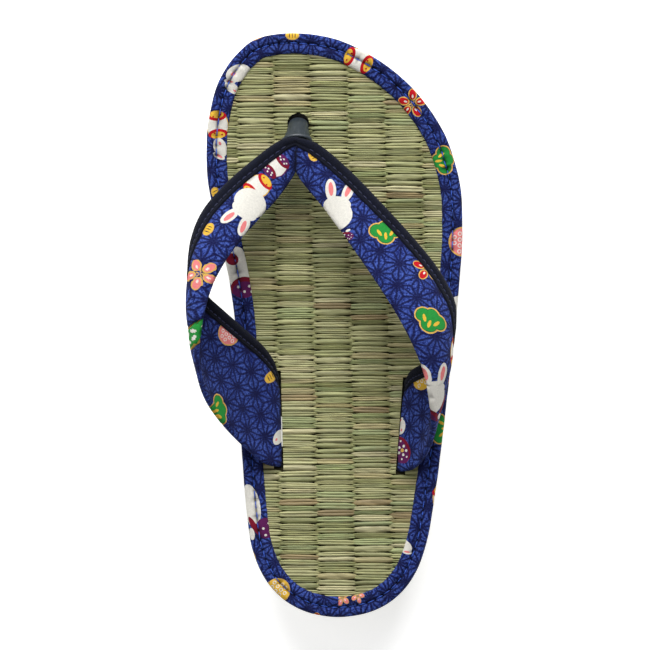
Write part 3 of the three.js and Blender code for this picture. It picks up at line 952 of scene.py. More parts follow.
def make_sole():
    """Wave-moulded foam, cut out with the sandal's outline."""
    steps = 8
    half = np.sin(np.linspace(-math.pi / 2, math.pi / 2, steps, endpoint=False)) / 2 + 0.5
    x = TREAD_PHASE + TREAD_WAVE / 2 * np.concatenate([half + corner for corner in range(-5, 5)])
    rows = [(-20.0, 0.0)]
    for groove in range(1, int((LENGTH - TREAD_SWING) / TREAD_PITCH) + 1):
        rows += [(groove * TREAD_PITCH + place, depth) for place, depth in TREAD_PROFILE]
    rows.append((LENGTH + 20.0, 0.0))
    places, depths = (np.array(column) for column in zip(*rows))
    grid_y = places[:, None] + tread_wave(x)[None, :]
    grid_x = np.broadcast_to(x, grid_y.shape)
    grid_z = sole_bottom(grid_y) + depths[:, None]
    bottom = np.stack([grid_x, grid_y, grid_z], axis=-1)
    height, width = bottom.shape[:2]
    index = np.arange(height * width).reshape(height, width)
    faces = [
        (index[i, j], index[i, j + 1], index[i + 1, j + 1], index[i + 1, j])
        for i in range(height - 1) for j in range(width - 1)
    ]
    border = [*index[0, :-1], *index[:-1, -1], *index[-1, :0:-1], *index[:0:-1, 0]]
    lid = bottom.reshape(-1, 3)[border]
    lid[:, 2] = LID_HEIGHT
    count = height * width
    for i in range(len(border)):
        j = (i + 1) % len(border)
        faces.append((border[i], border[j], count + j, count + i))
    faces.append([count + i for i in range(len(border))])
    sole = new_object("sole", np.vstack([bottom.reshape(-1, 3), lid]), faces)
    tidy_mesh(sole)

    def under(y):
        return np.full_like(y, -2.0)

    block = slab("block", SOLE_INSET_BOTTOM, under, SOLE_INSET_TOP, sole_top)
    tidy_mesh(block)
    combine(sole, block, "INTERSECT")
    tidy_mesh(sole, sharp=50)
    finished(sole, FOAM, "sole_foam", "outsole")
    # The flat top takes the dark glue: partly real glue, partly painted shade inside the toe hole
    # and the slits
    sole.data.materials.append(GLUE_AND_HOLE_SHADE)
    for face in sole.data.polygons:
        face.material_index = int(face.normal.z > 0.9 and face.center.z > 12 * MM)


# ---- Insole ---------------------------------------------------------------------------------

RIB_WIDTH = 15.55
RIB_START = -42.6  # X of a boundary between ribs at RIB_LEVEL
RIB_LEVEL = 205.0
RIB_DRIFT = 0.0157  # how far the boundaries move outwards per millimetre towards the heel
REED_PITCH = 2.3
REED_HEIGHT = 0.66  # half the thickness of a reed
REED_STEPS, REED_SIDES = 6, 6
SHORTEST_STRAW = 0.6
MAT_INSET = 5.0  # the reeds end here, under the binding
MAT_DROP = 0.75  # the board's top under the insole's height
BOARD_DROP = 0.9  # the board's bottom above the insole's underside
BOARD_INSET = 1.2
REED_SHADES = (
    (srgb(182, 180, 130), 5), (srgb(170, 170, 118), 6), (srgb(160, 162, 110), 5),
    (srgb(148, 150, 98), 3), (srgb(178, 168, 120), 3), (srgb(162, 170, 118), 3),
    (srgb(160, 142, 100), 1), (srgb(192, 186, 142), 2),
)


def slit_ends(rows):
    return [np.array(rows[0][i][:2]) for i in (0, 1)]


def cutter(plan, middle, reach=15):
    """Upright block with a given outline, which cuts through the board."""
    count = len(plan)
    points = [(*corner, middle + z) for z in (-reach, reach) for corner in plan]
    caps = [tuple(range(count - 1, -1, -1)), tuple(range(count, 2 * count))]
    return new_object("cutter", points, wall_faces(count) + caps)


def slit_cutter(rows):
    rear, front = slit_ends(rows)
    run = unit(front - rear)
    side = np.array([run[1], -run[0]]) * SLIT_WIDTH / 2
    ends = (rear - run * 0.5, front + run * 0.3)
    plan = [ends[0] - side, ends[0] + side, ends[1] + side, ends[1] - side]
    return cutter(plan, insole_top(rear[1]))


def hole_cutter():
    x, y, radius = TOE_HOLE
    return cutter(oval(x, y, 2 * radius, 2 * radius, count=40), insole_top(y))


def make_board():
    def low(y):
        return board_bottom(y) + BOARD_DROP

    def high(y):
        return insole_top(y) - MAT_DROP

    piece = slab("mat_board", BOARD_INSET, low, BOARD_INSET, high)
    tidy_mesh(piece)
    for block in (slit_cutter(INNER_STRAP), slit_cutter(OUTER_STRAP), hole_cutter()):
        tidy_mesh(block)
        combine(piece, block, "DIFFERENCE")
    tidy_mesh(piece, sharp=40)
    finished(piece, BOARD, "rush_mat", "insole")


def spans_outside_holes(y, start, end, room=0.5):
    """Stretches of a reed at y that the outline, the slits and the toe hole leave."""
    holes = []
    for rows in (INNER_STRAP, OUTER_STRAP):
        rear, front = slit_ends(rows)
        part = (y - rear[1]) / (front[1] - rear[1])
        if -0.03 < part < 1.03:
            middle = rear[0] + part * (front[0] - rear[0])
            holes.append((middle - SLIT_WIDTH / 2, middle + SLIT_WIDTH / 2))
    x, centre, radius = TOE_HOLE
    if abs(y - centre) < radius + room:
        half = math.sqrt(max(0.04, radius ** 2 - (y - centre) ** 2))
        holes.append((x - half, x + half))
    spans = [(start, end)]
    for low, high in holes:
        cut = []
        for a, b in spans:
            cut += [(a, min(b, low)), (max(a, high), b)]
        spans = [(a, b) for a, b in cut if b - a > SHORTEST_STRAW]
    return spans


def mat_limits(y, loop):
    """Where the mat's edge crosses a line at y."""
    crossings = []
    for (x0, y0), (x1, y1) in zip(loop, np.roll(loop, -1, axis=0)):
        if (y0 > y) != (y1 > y):
            crossings.append(x0 + (y - y0) * (x1 - x0) / (y1 - y0))
    return (min(crossings), max(crossings)) if crossings else None


def reed_end(y, x):
    """Where a reed that stops at x beside the toe hole stops at another y."""
    centre_x, centre_y, radius = TOE_HOLE
    if abs((x - centre_x) ** 2 + (y - centre_y) ** 2 - radius ** 2) > 2 * REED_PITCH * radius:
        return x
    half = math.sqrt(max(0.0, radius ** 2 - (y - centre_y) ** 2))
    return centre_x + math.copysign(half, x - centre_x)


def reed_rings(y, gather, span, rib, half_width, lift, sway):
    """Rings of points round one straw, pinched and pushed down where it enters the next rib."""
    start, end = rib
    middle, reach = (start + end) / 2, (end - start) / 2
    beside_hole = abs(y - TOE_HOLE[1]) < TOE_HOLE[2] + REED_PITCH
    rings = []
    for i in range(REED_STEPS + 1):
        part = 0.5 - 0.5 * math.cos(math.pi * i / REED_STEPS)
        for side in range(REED_SIDES):
            angle = 2 * math.pi * (side + 0.5) / REED_SIDES
            ends = span
            if beside_hole:
                ends = [reed_end(y + half_width * math.cos(angle), x) for x in span]
            x = ends[0] + (ends[1] - ends[0]) * part
            off = min(1.0, abs(x - middle) / reach)
            width = half_width * (1 - 0.62 * off ** 6)
            height = REED_HEIGHT * (1 - 0.35 * off ** 6)
            centre_y = y + sway * (x - middle) / reach - gather * off ** 6
            centre_z = float(insole_top(centre_y)) - MAT_DROP + 0.5 + lift - 0.8 * off ** 8
            spread, rise = width * math.cos(angle), height * math.sin(angle)
            rings.append((x, centre_y + spread, centre_z + rise))
    return rings


def make_mat():
    """The woven rush: bundles of straws across the sandal, gathered at the ribs and staggered."""
    draw = random.Random(11)
    loop = rim(np.linspace(0, rim.size, 720, endpoint=False), np.full(720, MAT_INSET))
    shades, weights = zip(*REED_SHADES)
    quads = loft_faces(REED_STEPS + 1, REED_SIDES)
    points, faces, colours = [], [], []
    for rib in range(-2, 8):
        y = 3.0 + (REED_PITCH / 2 if rib % 2 else 0)
        while y < LENGTH - 3:
            pitch = REED_PITCH * draw.uniform(0.75, 1.28)
            y += pitch
            middle = y - pitch / 2
            edge = RIB_START + rib * RIB_WIDTH + (RIB_LEVEL - middle) * RIB_DRIFT
            overlap = draw.uniform(0.7, 1.4)
            reach = (edge - overlap, edge + RIB_WIDTH + overlap)
            shade = draw.choices(shades, weights)[0]
            lift, sway = draw.uniform(-0.08, 0.1), draw.uniform(-0.22, 0.22)
            straws = draw.choices((1, 2, 3), (3, 5, 3))[0]
            half_width = 0.52 * pitch / (straws ** 0.9)
            for straw in range(straws):
                away = ((straw + 0.5) / straws - 0.5) * 0.94 * pitch
                limits = mat_limits(middle + away, loop)
                if limits is None:
                    continue
                low, high = max(reach[0], limits[0]), min(reach[1], limits[1])
                tone = draw.uniform(0.84, 1.12)
                hump = lift + 0.14 * (1 - abs(2 * away / pitch)) + draw.uniform(-0.06, 0.06)
                if high - low <= SHORTEST_STRAW:
                    continue
                for span in spans_outside_holes(middle + away, low, high):
                    faces += shifted(quads, len(points))
                    points += reed_rings(
                        middle + away, 0.6 * away, span, reach, half_width, hump, sway)
                    colours += [(*(tone * channel for channel in shade), 1)] * len(quads)
    mat = new_object("rush_mat", points, faces, colours=colours)
    tidy_mesh(mat, sharp=75)
    finished(mat, RUSH, "rush_mat", "insole")


LINING_START, LINING_LENGTH = 8.5, 12.5  # from the slit's rear end


def make_slit_lining():
    """A scrap of white backing that shows beside the strap in the slit on the big-toe side."""
    rear, front = slit_ends(INNER_STRAP)
    run = unit(front - rear)
    side = np.array([run[1], -run[0]])
    points = []
    for part in np.linspace(0, 1, 9):
        middle = rear + run * (LINING_START + LINING_LENGTH * part) + side * (SLIT_WIDTH / 2 - 0.3)
        top = 0.5 * math.sin(math.pi * min(1.0, 0.1 + part)) ** 0.5
        for x, z in ((0.25, -2.5), (0.25, top), (-0.25, top), (-0.25, -2.5)):
            points.append((*(middle + side * x), insole_top(middle[1]) + z))
    lining = new_object("slit_lining", points, loft_faces(9, 4))
    tidy_mesh(lining, sharp=40)
    finished(lining, BACKING, "strap_cloth")


# ---- Edge binding ---------------------------------------------------------------------------

BINDING_TOP_WIDTH = 7.9
BINDING_CORNER = 1.2
BINDING_CLOTH = 0.7
BINDING_SEAM = 4.1  # the stitches' inset from the outer edge
BINDING_STITCH = 4.4  # from one stitch to the next
BINDING_BEND = math.pi * BINDING_CORNER / 4  # half of the cloth's way round the outer corner
BINDING_WALL = INSOLE_THICKNESS + BINDING_LIP - BINDING_CORNER
BINDING_LOW = -(BINDING_BEND + BINDING_WALL)  # across the cloth, where it turns under the board
BINDING_HIGH = BINDING_TOP_WIDTH - BINDING_CORNER + BINDING_BEND  # where it turns to the mat
BINDING_TUCK = 2.6  # the cloth under the board
BINDING_FOLD = 1.6  # the cloth that turns down to the mat
BINDING_TURN = 0.7  # the radius of that turn

BINDING_HEMP_TURN = 12.0
BINDING_MOTIFS = (  # kind, place along the rim, inset, size, turn
    ("pink blossom", 2, 8.2, 8, 10), ("pink blossom", 10, 8.0, 7, 40), ("scrap", 49, 8.2, 9, 60),
    ("banded ball", 72, -4.6, 12, 30), ("pine", 101, 0.8, 12, 10),
    ("red blossom", 126, -2.5, 12, 0), ("rabbit", 150, -1.0, 15, 80),
    ("ring ball", 180, -0.3, 12.5, 0), ("pine", 216, 4.6, 12, 170),
    ("red blossom", 245, 4.2, 13, 12), ("banded ball", 276, 4.2, 12.6, 4), ("seed", 307, 0.6, 6, 0),
    ("ring ball", 322, -5.2, 11, 0), ("scrap", 339, 5.4, 15, -30), ("banded ball", 365, 3.6, 12, 12),
    ("scrap", 347, 6.2, 9.5, 70), ("scrap", 375, 5.6, 11, 200), ("seed", 395, 2.6, 6, 20),
    ("red blossom", 409, -2.0, 12, 30), ("sash", 428, 4.6, 19, 0), ("pine", 456, -1.0, 12, 60),
    ("banded ball", 482, 0.5, 12, 80),
    ("ribbon", 531, 4.4, 26, 0), ("pine", 548, -4.8, 11, 0), ("yellow ball", 566, 1.2, 11, 0),
    ("red blossom", 586, -4.8, 11, 0),
)


def binding_profile(across):
    """Inset and drop of the cloth at a distance across it, 0 at the middle of the outer corner."""
    corner, bend = BINDING_CORNER, BINDING_BEND
    turn = np.clip((across + bend) / (2 * bend), 0, 1) * math.pi / 2
    inset = corner * (1 - np.cos(turn)) + np.maximum(0, across - bend)
    drop = corner * (1 - np.sin(turn)) + np.maximum(0, -across - bend)
    return inset, drop


def cut_binding():
    """The binding's cloth laid flat, with its print."""
    low, high = BINDING_LOW, BINDING_HIGH
    across = np.concatenate([
        [low - BINDING_TUCK, low - BINDING_TUCK / 2, low - 0.3],
        np.linspace(low, -1.0, 5), [-0.5, 0.0, 0.5], [1.0, 1.6, 2.3, 2.8, 3.2, 3.6, 4.0, 4.5, 5.2],
        np.linspace(6.0, high, 3), [high + 0.35, high + 0.8, high + BINDING_FOLD],
    ])
    along = np.linspace(0, rim.size, 561)
    border = [(s, across[0]) for s in along] + [(rim.size, d) for d in across[1:-1]]
    border += [(s, across[-1]) for s in along[::-1]] + [(0.0, d) for d in across[-2:0:-1]]
    points = [(s, d) for s in along[1:-1] for d in across[1:-1]]
    return printed_cloth(border, points, print_layers(BINDING_MOTIFS))


def binding_surface(s, d):
    """Points of the cloth folded over the insole's edge and puckered along its seam, and the painted
    shade in its seam and pucker hollows, from places along and across it."""
    inset, drop = binding_profile(np.clip(d, BINDING_LOW, BINDING_HIGH))
    beyond = np.clip(d - BINDING_HIGH, 0, None)
    quarter = BINDING_TURN * math.pi / 2
    bend = np.clip(beyond / quarter, 0, 1) * math.pi / 2
    inset = inset + BINDING_TURN * np.sin(bend)
    drop = drop + BINDING_TURN * (1 - np.cos(bend)) + np.maximum(0, beyond - quarter)
    inset = inset + np.clip(BINDING_LOW - d, 0, None)
    seam = inset - BINDING_SEAM
    on_top = np.clip(1 - drop, 0, 1)
    ring = 2 * math.pi * s / rim.size
    loose = np.stack([np.cos(ring), np.sin(ring)], axis=1) * rim.size / (2 * math.pi)
    pitch = rim.size / round(rim.size / BINDING_STITCH)
    needle = 0.5 + 0.5 * np.cos(2 * math.pi * s / pitch)
    dome = np.sqrt(np.clip(1 - ((np.abs(seam) - 1.9) / 2.3) ** 2, 0, 1))
    dip = (0.55 + 0.3 * needle) * np.exp(-(seam / 0.55) ** 2)
    pucker = (rough(loose, 0.5, 3.0) + 0.5 * rough(loose, 1.1, 5.0)) * np.exp(-(seam / 1.9) ** 2)
    wave = rough(loose, 0.11, 8.0)
    tug = -0.24 * needle * np.exp(-(seam / 2.4) ** 2)
    lift = on_top * (0.75 * dome - 0.42 + 0.6 * pucker + 0.14 * wave - dip + tug)
    frayed = 0.16 * rough(loose, 0.9, 12.0) * np.clip((inset - 6) / 1.5, 0, 1)
    plan = rim(s, inset + 0.12 * wave * (1 - on_top) + frayed)
    height = insole_top(plan[:, 1]) + BINDING_LIP - drop + lift
    # Painted shade along the stitched seam and in the hollows of the puckers
    seam_shade = np.exp(-(seam / 0.42) ** 2) * (0.75 + 0.25 * needle)
    folds = np.clip(seam_shade + np.clip(-1.3 * pucker, 0, 0.7), 0, 1) * on_top
    return np.column_stack([plan, height]), folds


def make_binding():
    flat, triangles, colours = cut_binding()
    points, folds = binding_surface(flat[:, 0], flat[:, 1])
    uvs = turned(flat, BINDING_HEMP_TURN)
    binding = new_object("binding", points, triangles, uvs, colours, folds)
    tidy_mesh(binding, weld=0.02)
    thicken = binding.modifiers.new("thicken", "SOLIDIFY")
    thicken.thickness = BINDING_CLOTH * MM
    thicken.offset = -1
    apply_modifiers(binding)
    tidy_mesh(binding, sharp=70)
    finished(binding, COTTON, "printed_cloth", "edge_binding")


def make_stitches(name, threads, radius, rise, material, slot):
    """Threads lying on cloth, each from a start to an end, arched up along a normal between."""
    steps, sides = 6, 6
    quads = loft_faces(steps + 1, sides)
    points, faces = [], []
    for start, end, normal in threads:
        run = unit(end - start)
        side = unit(np.cross(run, normal))
        faces += shifted(quads, len(points))
        for i in range(steps + 1):
            part = i / steps
            arch = math.sin(math.pi * part)
            thick = radius * (0.35 + 0.65 * math.sqrt(max(arch, 0.0)))
            centre = start + (end - start) * part + normal * (rise * (1.6 * arch ** 0.6 - 0.9))
            for j in range(sides):
                angle = 2 * math.pi * (j + 0.5) / sides
                spread, lift = thick * math.cos(angle), thick * math.sin(angle)
                points.append(centre + side * spread + normal * lift)
    obj = new_object(name, points, faces)
    tidy_mesh(obj)
    finished(obj, material, slot)


def make_binding_stitches():
    draw = random.Random(5)
    count = round(rim.size / BINDING_STITCH)
    pitch = rim.size / count
    threads = []
    for i in range(count):
        pair = []
        for place in ((i + 0.1) * pitch, (i + 0.92) * pitch):
            plan = rim(place, BINDING_SEAM + draw.uniform(-0.15, 0.15))
            pair.append(np.array([*plan, insole_top(plan[1]) + BINDING_LIP - 0.66]))
        threads.append((*pair, np.array([0.0, 0.0, 1.0])))
    make_stitches("binding_stitches", threads, 0.25, 0.34, BLUE_THREAD, "printed_cloth")


# ---- Straps ---------------------------------------------------------------------------------

BAND_START = EDGING_WIDTH + 0.1  # the bands begin here behind the front edge, under the edging
TIP_RUN = 9.0  # over this length the edging narrows to where the straps meet
TIP_WIDTH = 0.55
BAND_HALF = 1.35
BAND_FOLD = 1.7  # rounding of a band's rear edge and of its end at the V

HEMP_TURN = 36.0  # the lattice against the run of a strap

# Prints and creases lie on the cloth folded round a strap's rear edge: the outer face has the
# positive side, the inner face the negative side. The print's rows are kind, place along the
# strap, place off the rear edge, size and turn.
INNER_HEMP = (19.5, 24.0)  # a star's middle
INNER_MOTIFS = (
    ("dotted ball", 141, 10.2, 11, -6), ("banded ball", 129.5, 9.6, 11.5, -12),
    ("rabbit", 118, 6.6, 21, 96), ("pink blossom", 86.5, 6.6, 13, 20),
    ("leaf card", 69.5, 2.4, 12.5, 30), ("seed", 101, 13.2, 6, 0),
    ("red blossom", 52, 17, 12.5, 0), ("pine", 34, 12, 12, 200), ("banded ball", 20, 26, 12, 40),
    ("ring ball", 8, 10, 12, 0), ("rabbit", 41, 29, 17, 20), ("ring ball", 41.5, -34.5, 10.5, 0),
    ("seed", 11.5, -36, 6.5, 70), ("pine", 39, -2.2, 12.5, 140), ("scrap", 5.5, -12.2, 9, 60),
    ("red blossom", 66, -16, 12, 0), ("pine", 92, -12, 11, 30), ("banded ball", 112, -8, 11, 0),
    ("ring ball", 136, -10, 11, 0),
)
OUTER_HEMP = (82.3, 6.3)
OUTER_MOTIFS = (
    ("seed", 148, 12.4, 5.5, 20), ("rabbit", 126.5, 5.2, 22, -46), ("ribbon", 113, -0.6, 10, 100),
    ("pine", 105, 14.6, 12.5, -60), ("red blossom", 83.5, 21.6, 13, 10),
    ("pine", 64.5, 10.4, 12.2, -42), ("rabbit", 43.4, 1.8, 22, -75),
    ("collar", 35, 2.6, 13, -60), ("ring ball", 24, 22, 12, 0),
    ("banded ball", 46, 20, 12, 30), ("pine", 9, 12, 12, 80), ("yellow ball", 20.5, -31.3, 12, 0),
    ("plum ball", 4.9, -9.0, 12.5, 60), ("scrap", 4.6, -18.6, 8, 100),
    ("red blossom", 30, -19, 12, 0),
    ("ring ball", 66, -14, 12, 0), ("banded ball", 92, -10, 12, 60), ("pine", 122, -12, 11, 0),
)
INNER_CREASES = (  # from, to, depth, half width
    ((4, -4), (22, -14), 0.5, 2.4), ((56, 20), (70, 6), 0.4, 3.0), ((96, 16), (103, 7), 0.3, 1.8),
    ((132, 13), (139, 5), 0.3, 1.8), ((30, -34), (44, -22), 0.4, 2.6),
)
OUTER_CREASES = (
    ((5, -5), (20, -12), 0.5, 2.4), ((60, 22), (74, 10), 0.4, 3.0), ((92, 20), (99, 9), 0.3, 2.0),
    ((136, 13), (143, 5), 0.3, 1.8), ((34, -26), (46, -14), 0.4, 2.6),
)


def edging_share(strap, along):
    """The edging's width along a strap, as a share of its full width."""
    near = np.clip((along - strap.size + TIP_RUN) / TIP_RUN, 0, 1)
    return 1 - (1 - TIP_WIDTH) * near ** 1.6


def band_thickness(strap, flat):
    """Half thickness of a padded band, round at its rear edge and at the V."""
    along, off = flat[:, 0], np.abs(flat[:, 1])
    room = strap.width(along) - BAND_START * edging_share(strap, along)
    part = np.clip(off / room, 0, 1)
    half = BAND_HALF * (0.9 + 0.28 * np.sin(math.pi * part) ** 0.8)
    half = half - 0.3 * np.exp(-((room - off) / 1.6) ** 2)
    for distance in (off, (strap.size - along) / 2.1):
        part = np.clip(distance / BAND_FOLD, 0, 1)
        half = half * np.sqrt(np.maximum(1 - (1 - part) ** 2, 0.0025))
    return half


def crease_depth(flat, creases):
    """Depth of the listed creases: a line from one place to another, depth and width."""
    depth = np.zeros(len(flat))
    for start, end, deep, wide in creases:
        start, run = np.array(start), np.array(end) - np.array(start)
        part = np.clip(((flat - start) @ run) / (run @ run), 0, 1)
        away = length(flat - start - part[:, None] * run)
        depth += deep * np.exp(-(away / wide) ** 2) * np.sin(math.pi * np.clip(part, 0.08, 0.92))
    return depth


def boundary_chain(faces):
    """The corners round an open mesh, in order."""
    edges = {}
    for a, b, c in faces:
        for edge in ((a, b), (b, c), (c, a)):
            edges[edge] = edges.get(edge, 0) + 1
    following = {a: b for a, b in edges if (b, a) not in edges}
    chain = [next(iter(following))]
    while following[chain[-1]] != chain[0]:
        chain.append(following[chain[-1]])
    return chain


def zipped(faces, flat):
    """Triangles that close a cloth folded along y = 0, joining each edge to its mirror image."""
    chain = boundary_chain(faces)
    fold = [i for i in chain if abs(flat[i, 1]) < 1e-6]
    first = min(fold, key=lambda i: flat[i, 0])
    last = max(fold, key=lambda i: flat[i, 0])
    start = chain.index(first)
    chain = chain[start:] + chain[:start]
    turn = chain.index(last)
    one, two = chain[:turn + 1], [chain[0]] + chain[:turn - 1:-1]

    def lengths(side):
        steps = [0.0]
        for a, b in zip(side, side[1:]):
            steps.append(steps[-1] + float(length(flat[a] - flat[b])))
        return [step / steps[-1] for step in steps]

    places, others = lengths(one), lengths(two)
    result, i, j = [], 0, 0
    while i < len(one) - 1 or j < len(two) - 1:
        if j == len(two) - 1 or (i < len(one) - 1 and places[i + 1] <= others[j + 1]):
            triangle = (one[i], two[j], one[i + 1])
            i += 1
        else:
            triangle = (one[i], two[j], two[j + 1])
            j += 1
        if len(set(triangle)) == 3:
            result.append(triangle)
    return result


def cut_band(strap, motifs):
    """A band's cloth laid flat, with its print."""
    end = strap.size - 0.45
    along = np.linspace(0, end, int(end / 1.9))
    room = strap.width(along) - BAND_START * edging_share(strap, along)
    offs = [0.0, 0.12, 0.4, 0.85, 1.5, 2.4, 3.6] + list(np.arange(5.2, 50, 1.8))
    ends = sorted({side * off for off in offs for side in (1, -1)})
    last_column = [off for off in ends if abs(off) < room[-1] - 0.5]
    first_column = [off for off in ends if abs(off) < room[0] - 0.5]
    border = [(s, -r) for s, r in zip(along, room)] + [(end, off) for off in last_column]
    border += [(s, r) for s, r in zip(along[::-1], room[::-1])]
    border += [(0.0, off) for off in first_column[::-1]]
    points = [
        (s, side * off)
        for s, r in zip(along[1:-1], room[1:-1]) for off in offs if off < r - 0.5
        for side in ((1, -1) if off else (1,))
    ]
    return printed_cloth(border, points, strap_layers(strap, motifs))


def make_band(name, strap, motifs, creases, hemp, seed):
    """A printed, padded band. The cloth is folded round the rear edge, y = 0 on the flat cloth,
    with the outer face on its positive side and the inner face on its negative side."""
    flat, triangles, colours = cut_band(strap, motifs)
    closing = zipped(triangles, flat)
    faces = np.vstack([triangles, closing])
    colours = np.vstack([colours, np.zeros((len(closing), 4))])

    width = strap.width(flat[:, 0])
    side = np.where(flat[:, 1] >= 0, 1.0, -1.0)
    off = np.abs(flat[:, 1])
    half = band_thickness(strap, flat)
    body = half / half.max()
    near_seam = np.exp(-((width - BAND_START - off) / 2.5) ** 2)
    # Painted shade where the two straps meet at the V and along the edging's hem
    meeting_shade = 0.95 * np.exp(-((strap.size - flat[:, 0]) / 3.0) ** 2)
    hem_shade = np.exp(-((width - BAND_START * edging_share(strap, flat[:, 0]) - off) / 0.5) ** 2)
    shade = np.clip(meeting_shade + 0.6 * hem_shade, 0, 1)
    pucker = rough(flat * (1.0, 0.35), 0.5, seed) * (0.05 + 0.14 * near_seam)
    swell = 0.22 * rough(flat, 0.07, seed + 5)
    height = half - body * crease_depth(flat, creases) + body * pucker
    spot = strap.point(flat[:, 0], width - off, side * height + body * swell)
    turn = HEMP_TURN + strap.heading(*hemp)
    uvs = turned(strap.flat(flat[:, 0], off) - strap.flat(*hemp), -turn)
    uvs = uvs * np.stack([np.ones_like(side), side], axis=1)
    band = new_object(name, spot, faces, uvs, colours, shade)
    tidy_mesh(band)
    finished(band, COTTON, "strap_cloth", "upper")


EDGING_STITCH = 2.7
EDGING_TIP = 3.6  # the edging sinks over this length where the straps meet
EDGING_PROFILE = (  # from the front edge over the top: behind the front edge, height over the pad
    (-0.35, 0.0), (-0.2, 0.42), (0.25, 0.78), (0.9, 0.98), (1.7, 1.04), (2.5, 0.98), (3.05, 0.84),
    (3.35, 0.7), (3.65, 0.7), (4.1, 0.82), (4.7, 0.84), (5.15, 0.74), (5.3, 0.6),
)


def edging_part(name, strap, end):
    """Dark cloth over a roll along one strap's front edge, with a flat hem sewn to the band."""
    along = np.linspace(0, end, int(end / 1.1))
    size = 2 * len(EDGING_PROFILE) - 1
    loops, uvs = [], []
    behind = [place for place, _ in EDGING_PROFILE] + [place for place, _ in EDGING_PROFILE[:0:-1]]
    heights = [rise for _, rise in EDGING_PROFILE] + [-rise for _, rise in EDGING_PROFILE[:0:-1]]
    for s in along:
        tip = 1 - min(1.0, (end - s) / EDGING_TIP)
        pad = float(strap.pad(s)) * math.sqrt(1 - (0.9 * tip) ** 2)
        ripple = 0.05 * noise.noise(Vector((s * 0.45, 0, 2.0)))
        tug = 0.06 * math.cos(2 * math.pi * s / EDGING_STITCH)
        rise = []
        for place, height in zip(behind, heights):
            hem = math.exp(-((place - 3.6) / 0.5) ** 2)
            rise.append(height * (pad + ripple) - math.copysign(tug * hem, height) * bool(height))
        place = np.array(behind) * float(edging_share(strap, s))
        loops.append(strap.point(np.full(size, s), place, np.array(rise)))
        uvs += [(s, 1.1 * i) for i in range(size)]
    rows = len(along)
    faces = loft_faces(rows, size)
    middle = size // 2
    end_at = (rows - 1) * size
    faces.append((middle + 1, middle, middle - 1))
    faces.append((end_at + middle - 1, end_at + middle, end_at + middle + 1))
    part = new_object(name, np.vstack(loops), faces, uvs)
    tidy_mesh(part)
    return part


def make_edging():
    edging = edging_part("edging", inner_strap, inner_strap.size)
    combine(edging, edging_part("other", outer_strap, outer_strap.size), "UNION")
    tidy_mesh(edging, sharp=60)
    finished(edging, NAVY, "edging_cloth", "strap_edging")


def make_edging_stitches():
    """Stitches through the edging's hem, on the outer face and the inner face."""
    threads = []
    for strap in (inner_strap, outer_strap):
        count = int((strap.size - 8) / EDGING_STITCH)
        for side in (1, -1):
            for i in range(count):
                pair = np.array([(i + 0.12) * EDGING_STITCH, (i + 0.9) * EDGING_STITCH]) + 4.5
                pad = strap.pad(pair) * 0.84
                behind = 3.55 * edging_share(strap, pair)
                low = strap.point(pair, behind, side * (pad - 0.2))
                high = strap.point(pair, behind, side * (pad + 0.8))
                threads.append((low[0], low[1], unit((high - low).mean(axis=0))))
    make_stitches("edging_stitches", threads, 0.22, 0.2, NAVY_THREAD, "edging_cloth")


# ---- Toe strap ------------------------------------------------------------------------------

def toe_loops(places, margins, count):
    """Oval loops along the toe strap, each smaller than the sleeve by its own margin."""
    centres = np.array([row[0] for row in TOE_STRAP], float)
    centres[:, 2] += insole_top(TOE_HOLE[1])
    keys = np.arange(len(TOE_STRAP))
    path = smooth(keys, centres)
    size = smooth(keys, [row[1:] for row in TOE_STRAP])(places)
    along = unit(path(places + 0.05) - path(places - 0.05))
    side = np.array([1.0, 0.0, 0.0])
    ahead = unit(np.cross(along, side))
    angle = 2 * math.pi * (np.arange(count) + 0.5) / count
    loops = []
    for i, middle in enumerate(path(places)):
        wide, deep = size[i] / 2 - margins[i]
        loop = middle + side * (wide * np.cos(angle))[:, None]
        loops.append(loop + ahead[i] * (deep * np.sin(angle))[:, None])
    return np.vstack(loops)


SLEEVE_WALL = 1.15
SLEEVE_LIP = (  # place along the toe strap, in rows of its table, and inset
    (3.95, -0.45), (4.0, -0.75), (4.06, -0.85), (4.12, -0.7), (4.15, -0.3), (4.14, 0.2),
    (4.08, 0.7),
)
TAB_INSET = 1.7  # of the strap inside the sleeve


def make_sleeve():
    """Moulded vinyl sleeve: a tube that opens upwards, with a rounded lip."""
    outside, count = np.linspace(1.0, 3.9, 16), 32
    lip, lip_margins = zip(*SLEEVE_LIP)
    places = np.concatenate([outside, lip, outside[::-1]])
    margins = np.concatenate([0 * outside, lip_margins, 0 * outside + SLEEVE_WALL])
    points = toe_loops(places, margins, count)
    sleeve = new_object("toe_sleeve_vinyl", points, loft_faces(len(places), count, ring=True))
    tidy_mesh(sleeve, sharp=60)
    finished(sleeve, VINYL, "sleeve_vinyl", "toe_sleeve")


def make_toe_tab():
    """The strap's end inside the sleeve, up to the underside of the bands."""
    rows, count = 30, 24
    places = np.linspace(0, 4.9, rows)
    margins = TAB_INSET + 0.25 * np.maximum(0, places - 4)
    points = toe_loops(places, margins, count)
    uvs = [(2.0 * i, 1.2 * j) for i in range(rows) for j in range(count)]
    tab = new_object("toe_tab", points, loft_faces(rows, count), uvs)
    tidy_mesh(tab, sharp=60)
    finished(tab, NAVY, "edging_cloth", "upper")


# ---- Stage ----------------------------------------------------------------------------------

VIEW_HEIGHT = 273 * MM  # what the picture shows at the height of the mat
CAMERA_DISTANCE = 3.0
SENSOR = 36.0
FLOOR_REACH = 30.0
FLOOR_GLOW = 0.55  # keeps the floor nearly white
SURROUND = 0.26
KEY_LIGHT = ((-0.05, 1.65, 1.25), 1.6, 67)  # place, size and power: low, beyond the toe
FILL_LIGHT = ((-0.9, 0.1, 1.8), 1.4, 7)


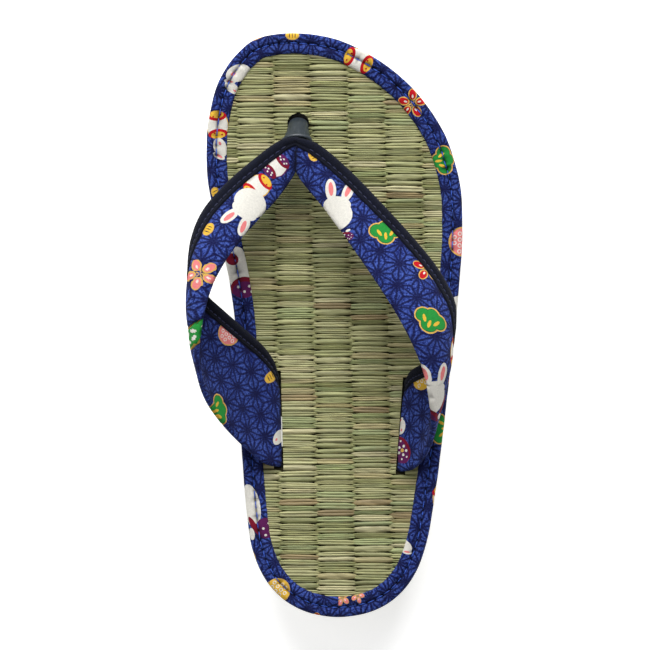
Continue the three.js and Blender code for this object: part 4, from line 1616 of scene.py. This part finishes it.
def make_camera():
    data = bpy.data.cameras.new("camera")
    data.sensor_width = SENSOR
    data.lens = SENSOR * (CAMERA_DISTANCE - insole_top(120) * MM) / VIEW_HEIGHT
    data.clip_end = 20
    camera = bpy.data.objects.new("camera", data)
    bpy.context.scene.collection.objects.link(camera)
    low, high = CAD_BOX
    camera.location = ((low[0] + high[0]) / 2, (low[1] + high[1]) / 2, CAMERA_DISTANCE)
    bpy.context.scene.camera = camera


def make_light(name, place, size, power):
    data = bpy.data.lights.new(name, "AREA")
    data.size = size
    data.energy = power
    light = bpy.data.objects.new(name, data)
    light.location = place
    light.rotation_euler = (-Vector(place)).to_track_quat("-Z", "Y").to_euler()
    bpy.context.scene.collection.objects.link(light)


def make_stage():
    mesh = bpy.data.meshes.new("floor")
    square = ((-1, -1), (1, -1), (1, 1), (-1, 1))
    mesh.from_pydata([(x * FLOOR_REACH, y * FLOOR_REACH, 0) for x, y in square], [], [(0, 1, 2, 3)])
    floor = bpy.data.objects.new("floor", mesh)
    bpy.context.scene.collection.objects.link(floor)
    shades = Shades("floor", roughness=0.9, specular=0.1)
    shades.link(srgb(255, 255, 255), shades.surface.inputs["Emission Color"])
    shades.link(FLOOR_GLOW, shades.surface.inputs["Emission Strength"])
    mesh.materials.append(shades.finish(srgb(232, 232, 232)))
    world = bpy.data.worlds.new("world")
    world.use_nodes = True
    background = world.node_tree.nodes["Background"]
    background.inputs["Color"].default_value = (1, 1, 1, 1)
    background.inputs["Strength"].default_value = SURROUND
    bpy.context.scene.world = world
    make_light("key", *KEY_LIGHT)
    make_light("fill", *FILL_LIGHT)
    bpy.context.scene.view_settings.view_transform = "Standard"


make_camera()
make_stage()
make_sole()
make_board()
make_mat()
make_slit_lining()
make_binding()
make_binding_stitches()
make_band("inner_band", inner_strap, INNER_MOTIFS, INNER_CREASES, INNER_HEMP, 1.0)
make_band("outer_band", outer_strap, OUTER_MOTIFS, OUTER_CREASES, OUTER_HEMP, 2.0)
make_edging()
make_edging_stitches()
make_sleeve()
make_toe_tab()
